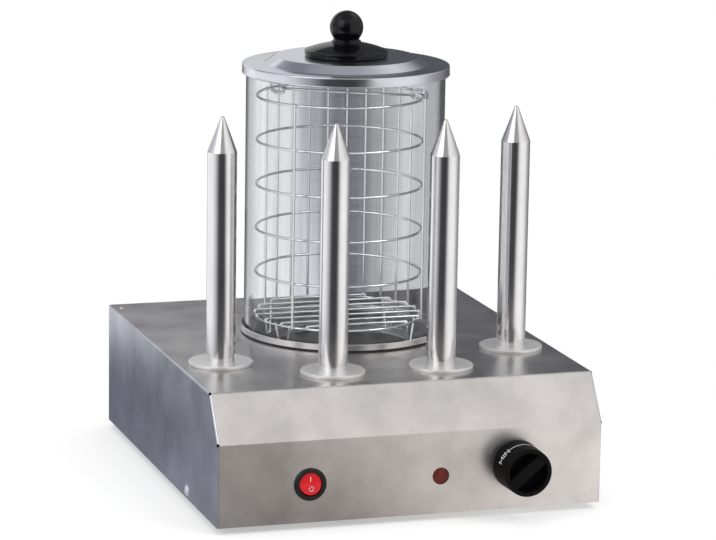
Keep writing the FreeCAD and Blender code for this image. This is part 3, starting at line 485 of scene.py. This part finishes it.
def plastic(name, dark, light, rough, grain, depth, cells=5000.0, gloss=0.5):
    """Moulded plastic or rubber with a fine grain and slight variation."""
    material, tree, shader = new_material(name)
    shader.inputs["Specular IOR Level"].default_value = gloss
    fine = noise(tree, (cells,) * 3, detail=2.0)
    broad = noise(tree, CLOUDS, detail=4.0)
    colour = ramp(tree, broad, [(0.3, dark), (0.7, light)])
    tree.links.new(colour, shader.inputs["Base Color"])
    tree.links.new(spread(tree, fine, rough - grain, rough + grain), shader.inputs["Roughness"])
    bump(tree, shader, fine, depth)
    return material


# --------------------------------------------------------------- materials
# noise cells per metre along X, Y and Z
ALONG_X = (22.0, 3200.0, 3200.0)
ALONG_Y = (3200.0, 22.0, 3200.0)
TURNED = (30.0, 30.0, 2500.0)
EVEN = (420.0,) * 3
CLOUDS = (60.0,) * 3
LIT_CELLS = (160.0,) * 3
GLASS_STREAKS = (60.0, 60.0, 1.0)


def lit_plastic(name, dark, light, rough, glow):
    """Translucent coloured plastic with a lamp behind it."""
    material, tree, shader = new_material(name)
    cells = noise(tree, LIT_CELLS, detail=3.0)
    colour = ramp(tree, cells, [(0.3, dark), (0.7, light)])
    tree.links.new(colour, shader.inputs["Base Color"])
    tree.links.new(colour, shader.inputs["Emission Color"])
    shader.inputs["Emission Strength"].default_value = glow
    tree.links.new(spread(tree, cells, rough * 0.8, rough * 1.2), shader.inputs["Roughness"])
    shader.inputs["Specular IOR Level"].default_value = 0.2
    shader.inputs["Coat Weight"].default_value = 0.15
    shader.inputs["Coat Roughness"].default_value = 0.05
    return material


def clear_glass():
    """Clear glass with a faint cool tint, darker in upright streaks of painted reflection, that
    lets light through to what stands in it.
    """
    material, tree, shader = new_material("glass_clear")
    painted_streaks = noise(tree, GLASS_STREAKS, detail=4.0)
    # the tint goes down to 0.79 in upright streaks: painted dark reflections in the glass
    tint = ramp(tree, painted_streaks, [(0.36, (0.79, 0.80, 0.83)), (0.62, (1.0, 1.0, 1.0))])
    tree.links.new(tint, shader.inputs["Base Color"])
    tree.links.new(spread(tree, painted_streaks, 0.0, 0.03), shader.inputs["Roughness"])
    shader.inputs["Transmission Weight"].default_value = 1.0
    shader.inputs["IOR"].default_value = 1.47
    path = tree.nodes.new("ShaderNodeLightPath")
    through = tree.nodes.new("ShaderNodeBsdfTransparent")
    through.inputs["Color"].default_value = (0.9, 0.94, 0.96, 1.0)
    surface = mixed_shader(tree, path.outputs["Is Shadow Ray"], shader.outputs["BSDF"],
                           through.outputs["BSDF"])
    tree.links.new(surface, tree.nodes["Material Output"].inputs["Surface"])
    return material


STEEL = (0.74, 0.715, 0.70)
DISC_LIGHT, DISC_DARK = (0.98, 0.96, 0.95), (0.80, 0.785, 0.78)
DISC_RING_PITCH = 2.4 * MM
DISC_RING_DEPTH = 0.06 * MM
MATERIALS = {
    "housing_steel": metal("housing_steel", STEEL, ALONG_X, 0.30, 0.13),
    # the sides' steel is the housing's steel made darker and bluer: painted shade on the side
    # panels
    "side_steel_painted_shade": metal("side_steel_painted_shade", (0.62, 0.635, 0.68), ALONG_Y, 0.30, 0.14),
    "base_steel": metal("base_steel", (0.55, 0.55, 0.55), ALONG_X, 0.4),
    "fastener_steel": metal("fastener_steel", (0.80, 0.80, 0.80), EVEN, 0.22, metallic=0.6),
    "polished_steel": metal("polished_steel", (0.86, 0.855, 0.86), TURNED, 0.15, 0.05),
    "heater_metal": metal("heater_metal", (0.45, 0.45, 0.46), TURNED, 0.45),
    "basket_wire": metal("basket_wire", (0.92, 0.92, 0.93), EVEN, 0.12, 0.06, metallic=0.9),
    # the basin's steel is much darker than the other steel: painted shade for the inside of the
    # dish under the basket
    "basin_steel": metal("basin_steel", (0.36, 0.36, 0.37), EVEN, 0.35),
    "ring_steel": metal("ring_steel", (0.75, 0.74, 0.73), TURNED, 0.24),
    "lid_steel": metal("lid_steel", (0.71, 0.73, 0.775), EVEN, 0.17, 0.05),
    "brass_terminal": metal("brass_terminal", (0.75, 0.58, 0.28), EVEN, 0.3),
    "glass_clear": clear_glass(),
    "gasket_black": plastic("gasket_black", (0.015,) * 3, (0.03,) * 3, 0.6, 0.1, 0.02 * MM),
    "knob_gloss_black": plastic("knob_gloss_black", (0.0015, 0.0015, 0.002),
                                (0.003, 0.003, 0.004), 0.10, 0.04, 0.001 * MM, 900.0, 0.3),
    "switch_black": plastic("switch_black", (0.008,) * 3, (0.013,) * 3, 0.35, 0.08, 0.01 * MM,
                            gloss=0.35),
    "knob_black": plastic("knob_black", (0.004,) * 3, (0.006,) * 3, 0.55, 0.08, 0.008 * MM,
                          gloss=0.06),
    "lamp_plastic": plastic("lamp_plastic", (0.7,) * 3, (0.8,) * 3, 0.5, 0.1, 0.01 * MM),
    "thermostat_plastic": plastic("thermostat_plastic", (0.09, 0.07, 0.06),
                                  (0.13, 0.1, 0.09), 0.5, 0.1, 0.01 * MM),
    # near-black beads that paint the shade inside the relief holes
    "relief_painted_shade": plastic("relief_painted_shade", (0.003,) * 3, (0.006,) * 3, 0.7, 0.1, 0.01 * MM,
                           gloss=0.1),
    "gland_black": plastic("gland_black", (0.02,) * 3, (0.035,) * 3, 0.45, 0.1, 0.02 * MM),
    "terminal_white": plastic("terminal_white", (0.75, 0.75, 0.72), (0.85, 0.85, 0.82),
                              0.5, 0.1, 0.01 * MM),
    "rubber_black": plastic("rubber_black", (0.02,) * 3, (0.04,) * 3, 0.7, 0.1, 0.03 * MM,
                            2500.0),
    "mark_white": plastic("mark_white", (0.7,) * 3, (0.82,) * 3, 0.5, 0.1, 0.002 * MM),
    "rocker_red": lit_plastic("rocker_red", (0.36, 0.004, 0.008), (0.46, 0.010, 0.014),
                              0.2, 0.42),
    "lens_red": lit_plastic("lens_red", (0.07, 0.008, 0.006), (0.12, 0.016, 0.012), 0.25, 0.02),
}


def turned_disc(node):
    """Disc steel with the fine rings that turning leaves round the middle of a node."""
    material = metal(node + "_steel", DISC_LIGHT, EVEN, 0.42, 0.05, metallic=0.75)
    tree = material.node_tree
    wave = tree.nodes.new("ShaderNodeTexWave")
    wave.wave_type, wave.rings_direction = "RINGS", "Z"
    wave.inputs["Scale"].default_value = 2 * math.pi / (20 * DISC_RING_PITCH)
    tree.links.new(texture_place(tree, shift=-middle(node)), wave.inputs["Vector"])
    shader = tree.nodes["Principled BSDF"]
    colour = ramp(tree, wave.outputs["Fac"], [(0.0, DISC_DARK), (1.0, DISC_LIGHT)])
    tree.links.new(colour, shader.inputs["Base Color"])
    bump(tree, shader, wave.outputs["Fac"], DISC_RING_DEPTH)
    return material


def paint_cad_nodes():
    """Gives every carried-over CAD node the material of its slot, except the side panels, which
    get a darker, bluer copy of the steel as painted shade.
    """
    slots = {row["node"]: row["material_slot"] for row in frame["record"]["subparts"]}
    for name, node in NODES.items():
        slot = slots[name]
        if slot == "disc_steel":
            material = turned_disc(name)
        elif name.startswith("side_panel"):
            material = MATERIALS["side_steel_painted_shade"]
        else:
            material = MATERIALS[slot]
        for holder in node.material_slots:
            holder.material = material


# --------------------------------------------------------------------- lid
def lid_pressing():
    """Pressed lid: plateau, flat rim, rounded bend and a rolled lower edge."""
    edge_r = LID_R - LID_BEAD_R + LID_SHEET / 2
    line = rounded([
        (LID_HOLE_R, PLATEAU_TOP), (PLATEAU_R, PLATEAU_TOP, PLATEAU_BEND_R),
        (PLATEAU_FOOT_R, LID_TOP, PLATEAU_BEND_R), (edge_r, LID_TOP, LID_BEND_R),
        (edge_r, LID_LOW + LID_BEAD_R),
    ])
    skin = lathe(sheet_section(line, LID_SHEET))
    bead = tube([round_point(LID_R - LID_BEAD_R, a, LID_LOW + LID_BEAD_R)
                 for a in circle(ROUND)], LID_BEAD_R, closed=True)
    piece("lid_pressing", over(GLASS, joined([skin, bead])), "lid", "lid_steel",
          ("lid", "lid_skirt"))


def turned_lid_knob():
    """Glossy knob: domed flange, collar, waist and ball in one turned outline."""
    rise = KNOB_DOME_H - KNOB_FLANGE_EDGE
    dome_r = (KNOB_FLANGE_R ** 2 + rise ** 2) / (2 * rise)
    reach = math.asin((KNOB_FLANGE_R - KNOB_RIM_W) / dome_r)
    start = math.asin((KNOB_COLLAR_R + KNOB_COLLAR_GAP) / dome_r)
    dome = [(dome_r * math.sin(a), KNOB_DOME_H - dome_r + dome_r * math.cos(a))
            for a in circle(DOME_STEPS, reach, start - reach)]
    low = math.asin((KNOB_WAIST_R + KNOB_NECK) / KNOB_BALL_R)
    ball = [(KNOB_BALL_R * math.sin(a), KNOB_BALL_UP + KNOB_BALL_R * math.cos(a))
            for a in circle(BALL_STEPS, math.pi - low, low - math.pi)]
    low_bend, top_bend = KNOB_RIM_BENDS
    edge = rounded([(LID_HOLE_R, 0), (KNOB_FLANGE_R, 0, low_bend),
                    (KNOB_FLANGE_R, dome[0][1] + KNOB_EDGE_RISE, top_bend), dome[0]])
    foot_bend, top_bend, waist_bend = KNOB_COLLAR_BENDS
    collar = rounded([dome[-1], (KNOB_COLLAR_R, dome[-1][1] + KNOB_EDGE_RISE, foot_bend),
                      (KNOB_COLLAR_R, KNOB_COLLAR_UP, top_bend),
                      (KNOB_WAIST_R, KNOB_COLLAR_UP, waist_bend),
                      (KNOB_WAIST_R, ball[0][1] - KNOB_NECK)])
    outline = edge[:-1] + dome + collar[1:] + ball
    outline += [(0, KNOB_HOLE_L), (LID_HOLE_R, KNOB_HOLE_L)]
    piece("lid_knob_turned", over(GLASS, lathe(outline), PLATEAU_TOP), "lid",
          "knob_gloss_black", ("lid_knob",), sharp=50.0)


# ------------------------------------------------------------------ basket
def ring_heights():
    return [middle(name).z for name in RINGS]


def basket_piece(name, shapes, nodes):
    """Wires of the basket that were made round the Z axis."""
    piece(name, over(BASKET, joined(shapes)), "basket", "basket_wire", nodes)


def wire_rings():
    """The six rings, at the heights that they have in the CAD."""
    shapes = [tube([round_point(RING_R, a, z) for a in circle(RING_STEPS)], WIRE_R, closed=True)
              for z in ring_heights()]
    basket_piece("basket_rings", shapes, RINGS)


def wire_uprights():
    """Upright wires with a bead of weld at every ring."""
    heights = ring_heights()
    shapes = []
    for angle in map(math.radians, UPRIGHT_ANGLES):
        shapes.append(tube([round_point(UPRIGHT_R, angle, heights[0] - WIRE_R),
                            round_point(UPRIGHT_R, angle, heights[-1] + WIRE_R)], WIRE_R))
        shapes += [blob(round_point((RING_R + UPRIGHT_R) / 2, angle, z), WELD_SIZE)
                   for z in heights]
    basket_piece("basket_upright_wires", shapes, ("basket_uprights",))


def wire_grid():
    """Parallel wires on the lowest ring."""
    z = middle("basket_grid").z
    shapes = []
    for i in range(GRID_WIRES):
        y = (i - (GRID_WIRES - 1) / 2) * GRID_PITCH
        reach = math.sqrt(RING_R ** 2 - y ** 2)
        shapes.append(tube([Vector((-reach, y, z)), Vector((reach, y, z))], WIRE_R))
        shapes += [blob(Vector((end, y, z - WIRE_R)), GRID_WELD_SIZE)
                   for end in (-reach, reach)]
    basket_piece("basket_grid_wires", shapes, ("basket_grid",))


def wire_feet():
    """U-shaped feet: two legs joined by a rounded bend on the ledge."""
    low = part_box("basket_feet")[0].z + FOOT_WIRE_UP
    high = ring_heights()[0] + WIRE_R
    shapes = []
    for angle in FOOT_ANGLES:
        corners = []
        for side in (-1, 1):
            top = math.radians(angle + side * FOOT_TOP_ANGLE)
            foot = math.radians(angle + side * FOOT_LOW_ANGLE)
            ends = [round_point(FOOT_TOP_R, top, high), round_point(FOOT_LOW_R, foot, low)]
            corners += ends if side < 0 else ends[::-1]
        shapes.append(tube(bent(corners, FOOT_BEND_R), WIRE_R))
    basket_piece("basket_foot_wires", shapes, ("basket_feet",))


def wire_handle():
    """Swinging handle: half-round bow with a coiled eye round the top ring at each end."""
    bow_r = EYE_PLACE - EYE_R
    turn = Matrix.Rotation(math.pi / 2 + HANDLE_SWING / 2 + HANDLE_REST, 4, "X")
    bow = [round_point(bow_r, a, 0) for a in circle(BOW_STEPS, math.pi, math.pi)]
    shapes = [tube(bow, WIRE_R)]
    for side in (-1, 1):
        inner = 0.0 if side < 0 else math.pi
        coil = []
        for a in circle(EYE_STEPS, 0, EYE_SWEEP):
            along = (a / (2 * math.pi) - EYE_TURNS / 2) * EYE_PITCH * WIRE_R
            coil.append(round_point(EYE_R, inner + a, along))
        shapes.append(placed(tube(coil, WIRE_R),
                             Matrix.Translation((side * EYE_PLACE, 0, 0)) @ turn))
    fold = (Matrix.Rotation(HANDLE_ANGLE, 4, "Z") @ Matrix.Translation((0, HANDLE_BACK, 0))
            @ Matrix.Rotation(-HANDLE_REST, 4, "X"))
    place = Matrix.Translation((BASKET.x, BASKET.y, ring_heights()[-1]))
    piece("basket_handle_wire", placed(joined(shapes), place @ fold), "basket_handle",
          "basket_wire", ("basket_handle",))


# ------------------------------------------------------------------- marks
def ribbon(line, width, step=0.4 * MM, overrun=0.3):
    """Flat strip of quads along a 2D line, as (points, faces).

    Each stretch runs over its ends by a share of the width, which fills the corners."""
    points, faces = [], []
    for a, b in zip(line, line[1:]):
        way = b - a
        count = max(int(way.length / step), 1)
        side = Vector((-way.y, way.x)).normalized() * width / 2
        run = way.normalized() * width * overrun
        start = len(points)
        for k in range(count + 1):
            here = a - run + (way + 2 * run) * (k / count)
            points += [here + side, here - side]
        for k in range(count):
            i = start + 2 * k
            faces.append([i, i + 1, i + 3, i + 2])
    return points, faces


LETTERS = {
    "M": [[(0, 0), (0, 1), (0.42, 0.35), (0.84, 1), (0.84, 0)]],
    "I": [[(0, 0), (0, 1)]],
    "N": [[(0, 0), (0, 1), (0.68, 0), (0.68, 1)]],
}
LETTER_GAP = 0.34


def lettering(text, height):
    """2D lines of a word that starts at the origin, and its length."""
    lines, x = [], 0.0
    for letter in text:
        strokes = LETTERS[letter]
        lines += [[Vector(((x + px) * height, py * height)) for px, py in stroke]
                  for stroke in strokes]
        x += max(px for stroke in strokes for px, py in stroke) + LETTER_GAP
    return lines, (x - LETTER_GAP) * height


def print_lines(name, lines, width, body, to_surface):
    """Thin printed marks: 2D lines laid on a surface by to_surface(a, b, lift)."""
    shapes = []
    for line in lines:
        points, faces = ribbon(line, width)
        shapes.append(([to_surface(p.x, p.y, MARK_T) for p in points], faces))
    piece(name, joined(shapes), body, "switch_black" if body == "rocker" else "knob_black",
          look="mark_white")


def rocker_marks():
    """Line and circle for on and off, laid on the rocker's two flats."""
    centre = middle("switch_rocker")
    surface = BVHTree.FromObject(NODES["switch_rocker"], bpy.context.evaluated_depsgraph_get())

    def to_surface(a, b, lift):
        start = Vector((centre.x + a, FRONT_Y - 0.05, centre.z + b))
        hit = surface.ray_cast(start, Vector((0, 1, 0)))[0]
        return hit - Vector((0, lift, 0))

    line = [Vector((0, end)) for end in ON_LINE]
    ring = [Vector((OFF_RING_SIDE + OFF_RING_R * math.cos(a),
                    OFF_RING_R * math.sin(a) - OFF_RING_DOWN))
            for a in circle(OFF_RING_STEPS, 0, OFF_RING_SWEEP)]
    print_lines("rocker_marks", [line, ring + ring[:1]], ROCKER_LINE_W, "rocker", to_surface)


def knob_marks():
    """MIN and the start of the scale line on the side of the thermostat knob."""
    def to_surface(a, b, lift):
        depth = MARKS_DEPTH - b
        forward = (KNOB_BACK_Y - (KNOB_FACE_Y + depth)) / (KNOB_BACK_Y - KNOB_FACE_Y)
        radius = KNOB_BASE_R + (KNOB_FACE_R - KNOB_BASE_R) * forward + lift
        angle = MARKS_ANGLE - a / KNOB_BASE_R
        return Vector((KNOB.x + radius * math.cos(angle), KNOB_FACE_Y + depth,
                       KNOB.z + radius * math.sin(angle)))

    word, length = lettering("MIN", MARKS_H)
    rise = MARKS_H / 2
    start, end = length + SCALE_GAP, length + SCALE_SWEEP * KNOB_BASE_R
    scale = [Vector((start + (end - start) * k / SCALE_STEPS, rise))
             for k in range(SCALE_STEPS + 1)]
    word = [[Vector((p.x, MARKS_H - p.y)) for p in line] for line in word]
    print_lines("knob_marks", word, WORD_LINE_W, "thermostat_knob", to_surface)
    print_lines("knob_scale", [scale], SCALE_LINE_W, "thermostat_knob", to_surface)


# ---------------------------------------------------------- small hardware
def cross_head(radius, height, rings=14, sides=64):
    """Domed screw head with a cross recess, on the XY plane."""
    cap_r = (radius ** 2 + height ** 2) / (2 * height)
    slot, reach = CROSS_SLOT * radius, CROSS_REACH * radius
    verts, faces = [Vector((0, 0, height - CROSS_DEPTH * height))], []
    for i in range(1, rings + 1):
        r = radius * i / rings
        for a in circle(sides):
            x, y = r * math.cos(a), r * math.sin(a)
            z = height - cap_r + math.sqrt(cap_r ** 2 - r ** 2)
            if r < reach and min(abs(x), abs(y)) < slot:
                z -= CROSS_DEPTH * height * (1 - (r / reach) ** 2)
            verts.append(Vector((x, y, z)))
    for k in range(sides):
        n = (k + 1) % sides
        faces.append([0, 1 + k, 1 + n])
        for i in range(rings - 1):
            low, high = 1 + i * sides, 1 + (i + 1) * sides
            faces.append([low + k, high + k, high + n, low + n])
    faces.append([1 + (rings - 1) * sides + k for k in range(sides)][::-1])
    return verts, faces


def side_screw_heads():
    """Cross heads near the front, flush plugs in the rear holes, where none show."""
    low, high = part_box("side_screws")
    front_y, rear_y = low.y + SCREW_R, high.y - SCREW_R
    z = (low.z + high.z) / 2
    plug = lathe([(0, -PLUG_IN), (PLUG_R, -PLUG_IN), (PLUG_R, PLUG_OUT), (0, PLUG_OUT)],
                 SMALL_ROUND)
    heads, plugs = [], []
    for side, x in ((-1, LEFT_X), (1, RIGHT_X)):
        out = Matrix.Rotation(side * math.pi / 2, 4, "Y")
        heads.append(placed(cross_head(SCREW_HEAD_R, SCREW_HEAD_H),
                            Matrix.Translation((x, front_y, z)) @ out))
        plugs.append(placed(plug, Matrix.Translation((x, rear_y, z)) @ out))
    piece("side_screw_heads", joined(heads), "housing", "fastener_steel", ("side_screws",))
    # the plugs take the sides' steel with its painted shade
    piece("side_hole_plugs", joined(plugs), "housing", "housing_steel", look="side_steel_painted_shade")


def bend_reliefs():
    """Small near-black beads in the relief holes where the slope's bends meet the side panels:
    painted shade for the dark insides of the holes.
    """
    shapes = []
    for y, z in (SLOPE_TOP, SLOPE_FOOT):
        left = Vector((LEFT_X + RELIEF_IN, y, z))
        right = Vector((RIGHT_X, y + RELIEF_R, z - RELIEF_R))
        for place, size in ((left, (RELIEF_R,) * 3), (right, (RELIEF_FLAT, RELIEF_R, RELIEF_R))):
            shapes.append(blob(place, size, RELIEF_SIDES, RELIEF_ROWS))
    piece("bend_reliefs", joined(shapes), "housing", "gasket_black", look="relief_painted_shade")


def deck_rivet():
    """Small blind rivet near the rear left corner of the deck."""
    dome = [(RIVET_R * math.cos(a), RIVET_H * math.sin(a)) for a in circle(8, 0, math.pi / 2)]
    shape = lathe([(0, -RIVET_IN), (RIVET_R, -RIVET_IN)] + dome, SMALL_ROUND)
    piece("deck_rivet", placed(shape, Matrix.Translation(RIVET_PLACE)), "housing",
          "fastener_steel")


# ------------------------------------------------------------------- stage
WHITE = (1.0, 1.0, 1.0)
FLOOR_COLOUR = (0.95, 0.95, 0.95)
FLOOR_HALF = 9.0
FLOOR_Z = -0.2 * MM
SHADOW_FADE = (0.24, 0.48)      # distances from the middle where the shadow fades out
FLOOR_CHANGE = (0.56, 0.76)     # and where the near floor turns into the far one
CEILING_FROM = (0.32, 0.72)     # sines of the elevation from the walls to the ceiling
ZENITH_FROM = (0.80, 0.97)      # and from the ceiling to what is straight above
ZENITH = (0.44, 0.44, 0.46)
SKY_STRENGTH = 0.9
GLASS_WALL_PASSES = 3.5         # faces of glass that light passes on its way in and out
SHADOW_SHARE = 0.6              # how much of the floor is shaded, the rest is plain white
LIGHT_AIM = Vector((0, 0, 0.15))


def floor():
    """Pale floor: white to the camera with a soft shadow near the object."""
    mesh = bpy.data.meshes.new("floor")
    low, high = -FLOOR_HALF, FLOOR_HALF
    mesh.from_pydata([(low, low, 0), (high, low, 0), (high, high, 0), (low, high, 0)],
                     [], [(0, 1, 2, 3)])
    obj = added("floor", mesh)
    obj.location.z = FLOOR_Z
    material, tree, shader = new_material("floor")
    tree.nodes.remove(shader)
    floor_shader(tree)
    mesh.materials.append(material)


# what the studio looks like in the metal, by direction round the object in degrees from
# +X, counterclockwise from above: the floor near it and far away, the walls, the ceiling
FLOOR_NEAR = [
    (-180, (0.26, 0.27, 0.32)), (-150, (0.26, 0.27, 0.31)), (-125, (0.27, 0.26, 0.255)),
    (-105, (0.27, 0.245, 0.235)), (-80, (0.62, 0.58, 0.555)), (-57, (0.95, 0.915, 0.89)),
    (-20, (0.90, 0.88, 0.86)), (40, (0.45, 0.45, 0.46)), (90, (0.18, 0.185, 0.20)),
    (120, (0.14, 0.15, 0.19)), (150, (0.19, 0.20, 0.24)), (180, (0.26, 0.27, 0.32)),
]
FLOOR_FAR = [
    (-180, (0.95, 0.95, 0.96)), (-162, (0.72, 0.72, 0.73)), (-146, (0.38, 0.38, 0.40)),
    (-130, (0.05, 0.05, 0.055)), (-98, (0.03, 0.03, 0.035)), (-86, (0.14, 0.14, 0.14)),
    (-72, (0.80, 0.79, 0.78)), (-50, (1.0, 0.99, 0.98)), (-24, (0.92, 0.92, 0.92)),
    (2, (0.42, 0.42, 0.43)), (40, (0.12, 0.12, 0.13)), (92, (0.10, 0.10, 0.115)),
    (110, (0.70, 0.71, 0.73)), (122, (0.98, 0.985, 1.0)), (180, (0.96, 0.96, 0.97)),
]
WALLS = [
    (-180, (0.80, 0.81, 0.84)), (-155, (0.45, 0.45, 0.47)), (-135, (0.06, 0.06, 0.065)),
    (-84, (0.05, 0.05, 0.05)), (-76, (0.95, 0.93, 0.92)), (-40, (0.90, 0.89, 0.88)),
    (0, (0.60, 0.60, 0.61)), (40, (0.16, 0.165, 0.18)), (75, (0.08, 0.085, 0.10)),
    (92, (0.10, 0.11, 0.13)), (99, (0.60, 0.61, 0.64)), (105, (0.60, 0.61, 0.64)),
    (114, (0.13, 0.14, 0.16)), (145, (0.55, 0.57, 0.62)), (180, (0.80, 0.81, 0.84)),
]
BEHIND_GLASS = [
    (-180, (0.98, 0.98, 0.98)), (-168, (1.0, 1.0, 1.0)), (-60, (1.0, 1.0, 1.0)),
    (-35, (0.30, 0.30, 0.30)), (0, (0.03, 0.03, 0.03)), (118, (0.03, 0.03, 0.03)),
    (140, (0.80, 0.80, 0.80)), (180, (0.98, 0.98, 0.98)),
]
# what the floor looks like through the glass, by direction: grey rather than white, with a
# narrow dark band near 72 degrees: painted shade and a painted dark streak in the glass
FLOOR_THROUGH_GLASS = [
    (-180, (0.80, 0.80, 0.82)), (0, (0.80, 0.80, 0.82)), (60, (0.66, 0.66, 0.68)),
    (68, (0.60, 0.60, 0.62)), (72, (0.17, 0.17, 0.19)), (74, (0.28, 0.28, 0.30)),
    (76, (0.85, 0.85, 0.88)), (80, (1.0, 1.0, 1.0)), (180, (0.80, 0.80, 0.82)),
]
CEILING = [
    (-180, (0.98, 0.98, 1.0)), (-150, (0.90, 0.90, 0.90)), (-120, (0.62, 0.61, 0.60)),
    (-72, (0.78, 0.76, 0.75)), (-50, (0.95, 0.93, 0.92)), (-20, (0.75, 0.74, 0.73)),
    (15, (0.92, 0.92, 0.92)), (40, (0.80, 0.80, 0.80)), (62, (0.22, 0.22, 0.23)),
    (120, (0.26, 0.27, 0.30)), (150, (0.85, 0.86, 0.88)), (180, (0.98, 0.98, 1.0)),
]


def direction_colour(tree, x, y, surround):
    """Colour of the surroundings in the horizontal direction (x, y)."""
    angle = math_value(tree, "ARCTAN2", y, x)
    stops = [((degrees + 180) / 360, colour) for degrees, colour in surround]
    return ramp(tree, map_range(tree, angle, -math.pi, math.pi), stops)


def mirrored(tree, graded, x, y):
    """1 for light that was mirrored on its way, what it then meets, and the light path.

    What is mirrored behind the glass wall, as in the basket's wires, has its own colours."""
    path = tree.nodes.new("ShaderNodeLightPath")
    behind = math_value(tree, "GREATER_THAN", path.outputs["Transmission Depth"],
                        GLASS_WALL_PASSES)
    met = mixed_colour(tree, behind, graded, direction_colour(tree, x, y, BEHIND_GLASS))
    in_metal = math_value(tree, "GREATER_THAN", path.outputs["Glossy Depth"], 0.5)
    return in_metal, emission(tree, met), path


def floor_shader(tree):
    """Diffuse near the object for its shadow, plain white far away, graded in reflections, and
    grey with a painted dark streak where it is seen through the glass.
    """
    place = tree.nodes.new("ShaderNodeNewGeometry")
    axes = tree.nodes.new("ShaderNodeSeparateXYZ")
    tree.links.new(place.outputs["Position"], axes.inputs[0])
    length = tree.nodes.new("ShaderNodeVectorMath")
    length.operation = "LENGTH"
    tree.links.new(place.outputs["Position"], length.inputs[0])
    distance = length.outputs["Value"]
    diffuse = tree.nodes.new("ShaderNodeBsdfDiffuse")
    diffuse.inputs["Color"].default_value = (*FLOOR_COLOUR, 1.0)
    bright = map_range(tree, distance, *SHADOW_FADE, 1 - SHADOW_SHARE)
    seen = mixed_shader(tree, bright, diffuse.outputs[0], emission(tree, WHITE))
    x, y = axes.outputs[0], axes.outputs[1]
    graded = mixed_colour(tree, map_range(tree, distance, *FLOOR_CHANGE),
                          direction_colour(tree, x, y, FLOOR_NEAR),
                          direction_colour(tree, x, y, FLOOR_FAR))
    in_metal, met, path = mirrored(tree, graded, x, y)
    through = emission(tree, direction_colour(tree, x, y, FLOOR_THROUGH_GLASS))
    seen = mixed_shader(tree, path.outputs["Is Transmission Ray"], seen, through)
    surface = mixed_shader(tree, in_metal, seen, met)
    tree.links.new(surface, tree.nodes["Material Output"].inputs["Surface"])


def studio_world():
    """White surroundings for camera and soft light, graded ones in reflections."""
    world = bpy.data.worlds.new("studio")
    world.use_nodes = True
    bpy.context.scene.world = world
    tree = world.node_tree
    plain = tree.nodes["Background"]
    plain.inputs["Color"].default_value = (*WHITE, 1.0)
    plain.inputs["Strength"].default_value = SKY_STRENGTH
    coordinates = tree.nodes.new("ShaderNodeTexCoord")
    axes = tree.nodes.new("ShaderNodeSeparateXYZ")
    tree.links.new(coordinates.outputs["Generated"], axes.inputs[0])
    x, y, rise = axes.outputs
    walls = direction_colour(tree, x, y, WALLS)
    ceiling = direction_colour(tree, x, y, CEILING)
    upper = mixed_colour(tree, map_range(tree, rise, *ZENITH_FROM), ceiling, ZENITH)
    graded = mixed_colour(tree, map_range(tree, rise, *CEILING_FROM), walls, upper)
    in_metal, met, path = mirrored(tree, graded, x, y)
    direct = math_value(tree, "MAXIMUM", path.outputs["Is Camera Ray"],
                        path.outputs["Is Transmission Ray"])
    seen = mixed_shader(tree, direct, plain.outputs[0], emission(tree, WHITE))
    surface = mixed_shader(tree, in_metal, seen, met)
    tree.links.new(surface, tree.nodes["World Output"].inputs["Surface"])


def soft_light(name, place, size, watts, glossy=True):
    """Square area light that shines at the middle of the object."""
    data = bpy.data.lights.new(name, "AREA")
    data.size = size
    data.energy = watts
    obj = added(name, data)
    obj.location = place
    obj.rotation_euler = (LIGHT_AIM - obj.location).to_track_quat("-Z", "Y").to_euler()
    obj.visible_glossy = glossy


def mirror_card(name, low, high, watts):
    """Upright bright card behind the object, from (x, y, z) to (x, y, z), seen only in metal."""
    data = bpy.data.lights.new(name, "AREA")
    data.shape = "RECTANGLE"
    data.size, data.size_y = high[0] - low[0], high[2] - low[2]
    data.energy = watts
    obj = added(name, data)
    obj.location = (Vector(low) + Vector(high)) / 2
    obj.rotation_euler = Vector((0, -1, 0)).to_track_quat("-Z", "Z").to_euler()
    obj.visible_camera = obj.visible_diffuse = obj.visible_transmission = False


def lights():
    """Two cards for the bright bands in the metal, and three soft lights."""
    mirror_card("card_high", (-0.75, 0.75, 0.40), (0.22, 0.75, 0.78), 0.72)
    mirror_card("card_low", (-0.75, 0.75, 0.10), (0.20, 0.75, 0.40), 0.09)
    soft_light("key", (1.6, -1.6, 2.2), 1.4, 26.0, glossy=False)
    soft_light("fill", (-2.0, -1.2, 1.6), 2.0, 14.0)
    soft_light("top", (0.0, 0.6, 2.6), 1.8, 14.0, glossy=False)


def camera():
    """Camera of the photograph, fitted to the housing's edges."""
    data = bpy.data.cameras.new("camera")
    data.lens = CAMERA_LENS
    data.sensor_width = CAMERA_SENSOR
    obj = added("camera", data)
    back = (CAMERA_PLACE - CAMERA_AIM).normalized()
    level = Vector((0, 0, 1)).cross(back).normalized()
    upright = back.cross(level)
    right = level * math.cos(CAMERA_ROLL) + upright * math.sin(CAMERA_ROLL)
    up = upright * math.cos(CAMERA_ROLL) - level * math.sin(CAMERA_ROLL)
    turn = Matrix((right, up, back)).transposed().to_4x4()
    obj.matrix_world = Matrix.Translation(CAMERA_PLACE) @ turn
    bpy.context.scene.camera = obj


# ---------------------------------------------------------------- assembly
paint_cad_nodes()
lid_pressing()
turned_lid_knob()
wire_rings()
wire_uprights()
wire_grid()
wire_feet()
wire_handle()
rocker_marks()
knob_marks()
side_screw_heads()
bend_reliefs()
deck_rivet()
floor()
studio_world()
lights()
camera()
bpy.context.scene.view_settings.view_transform = "Standard"
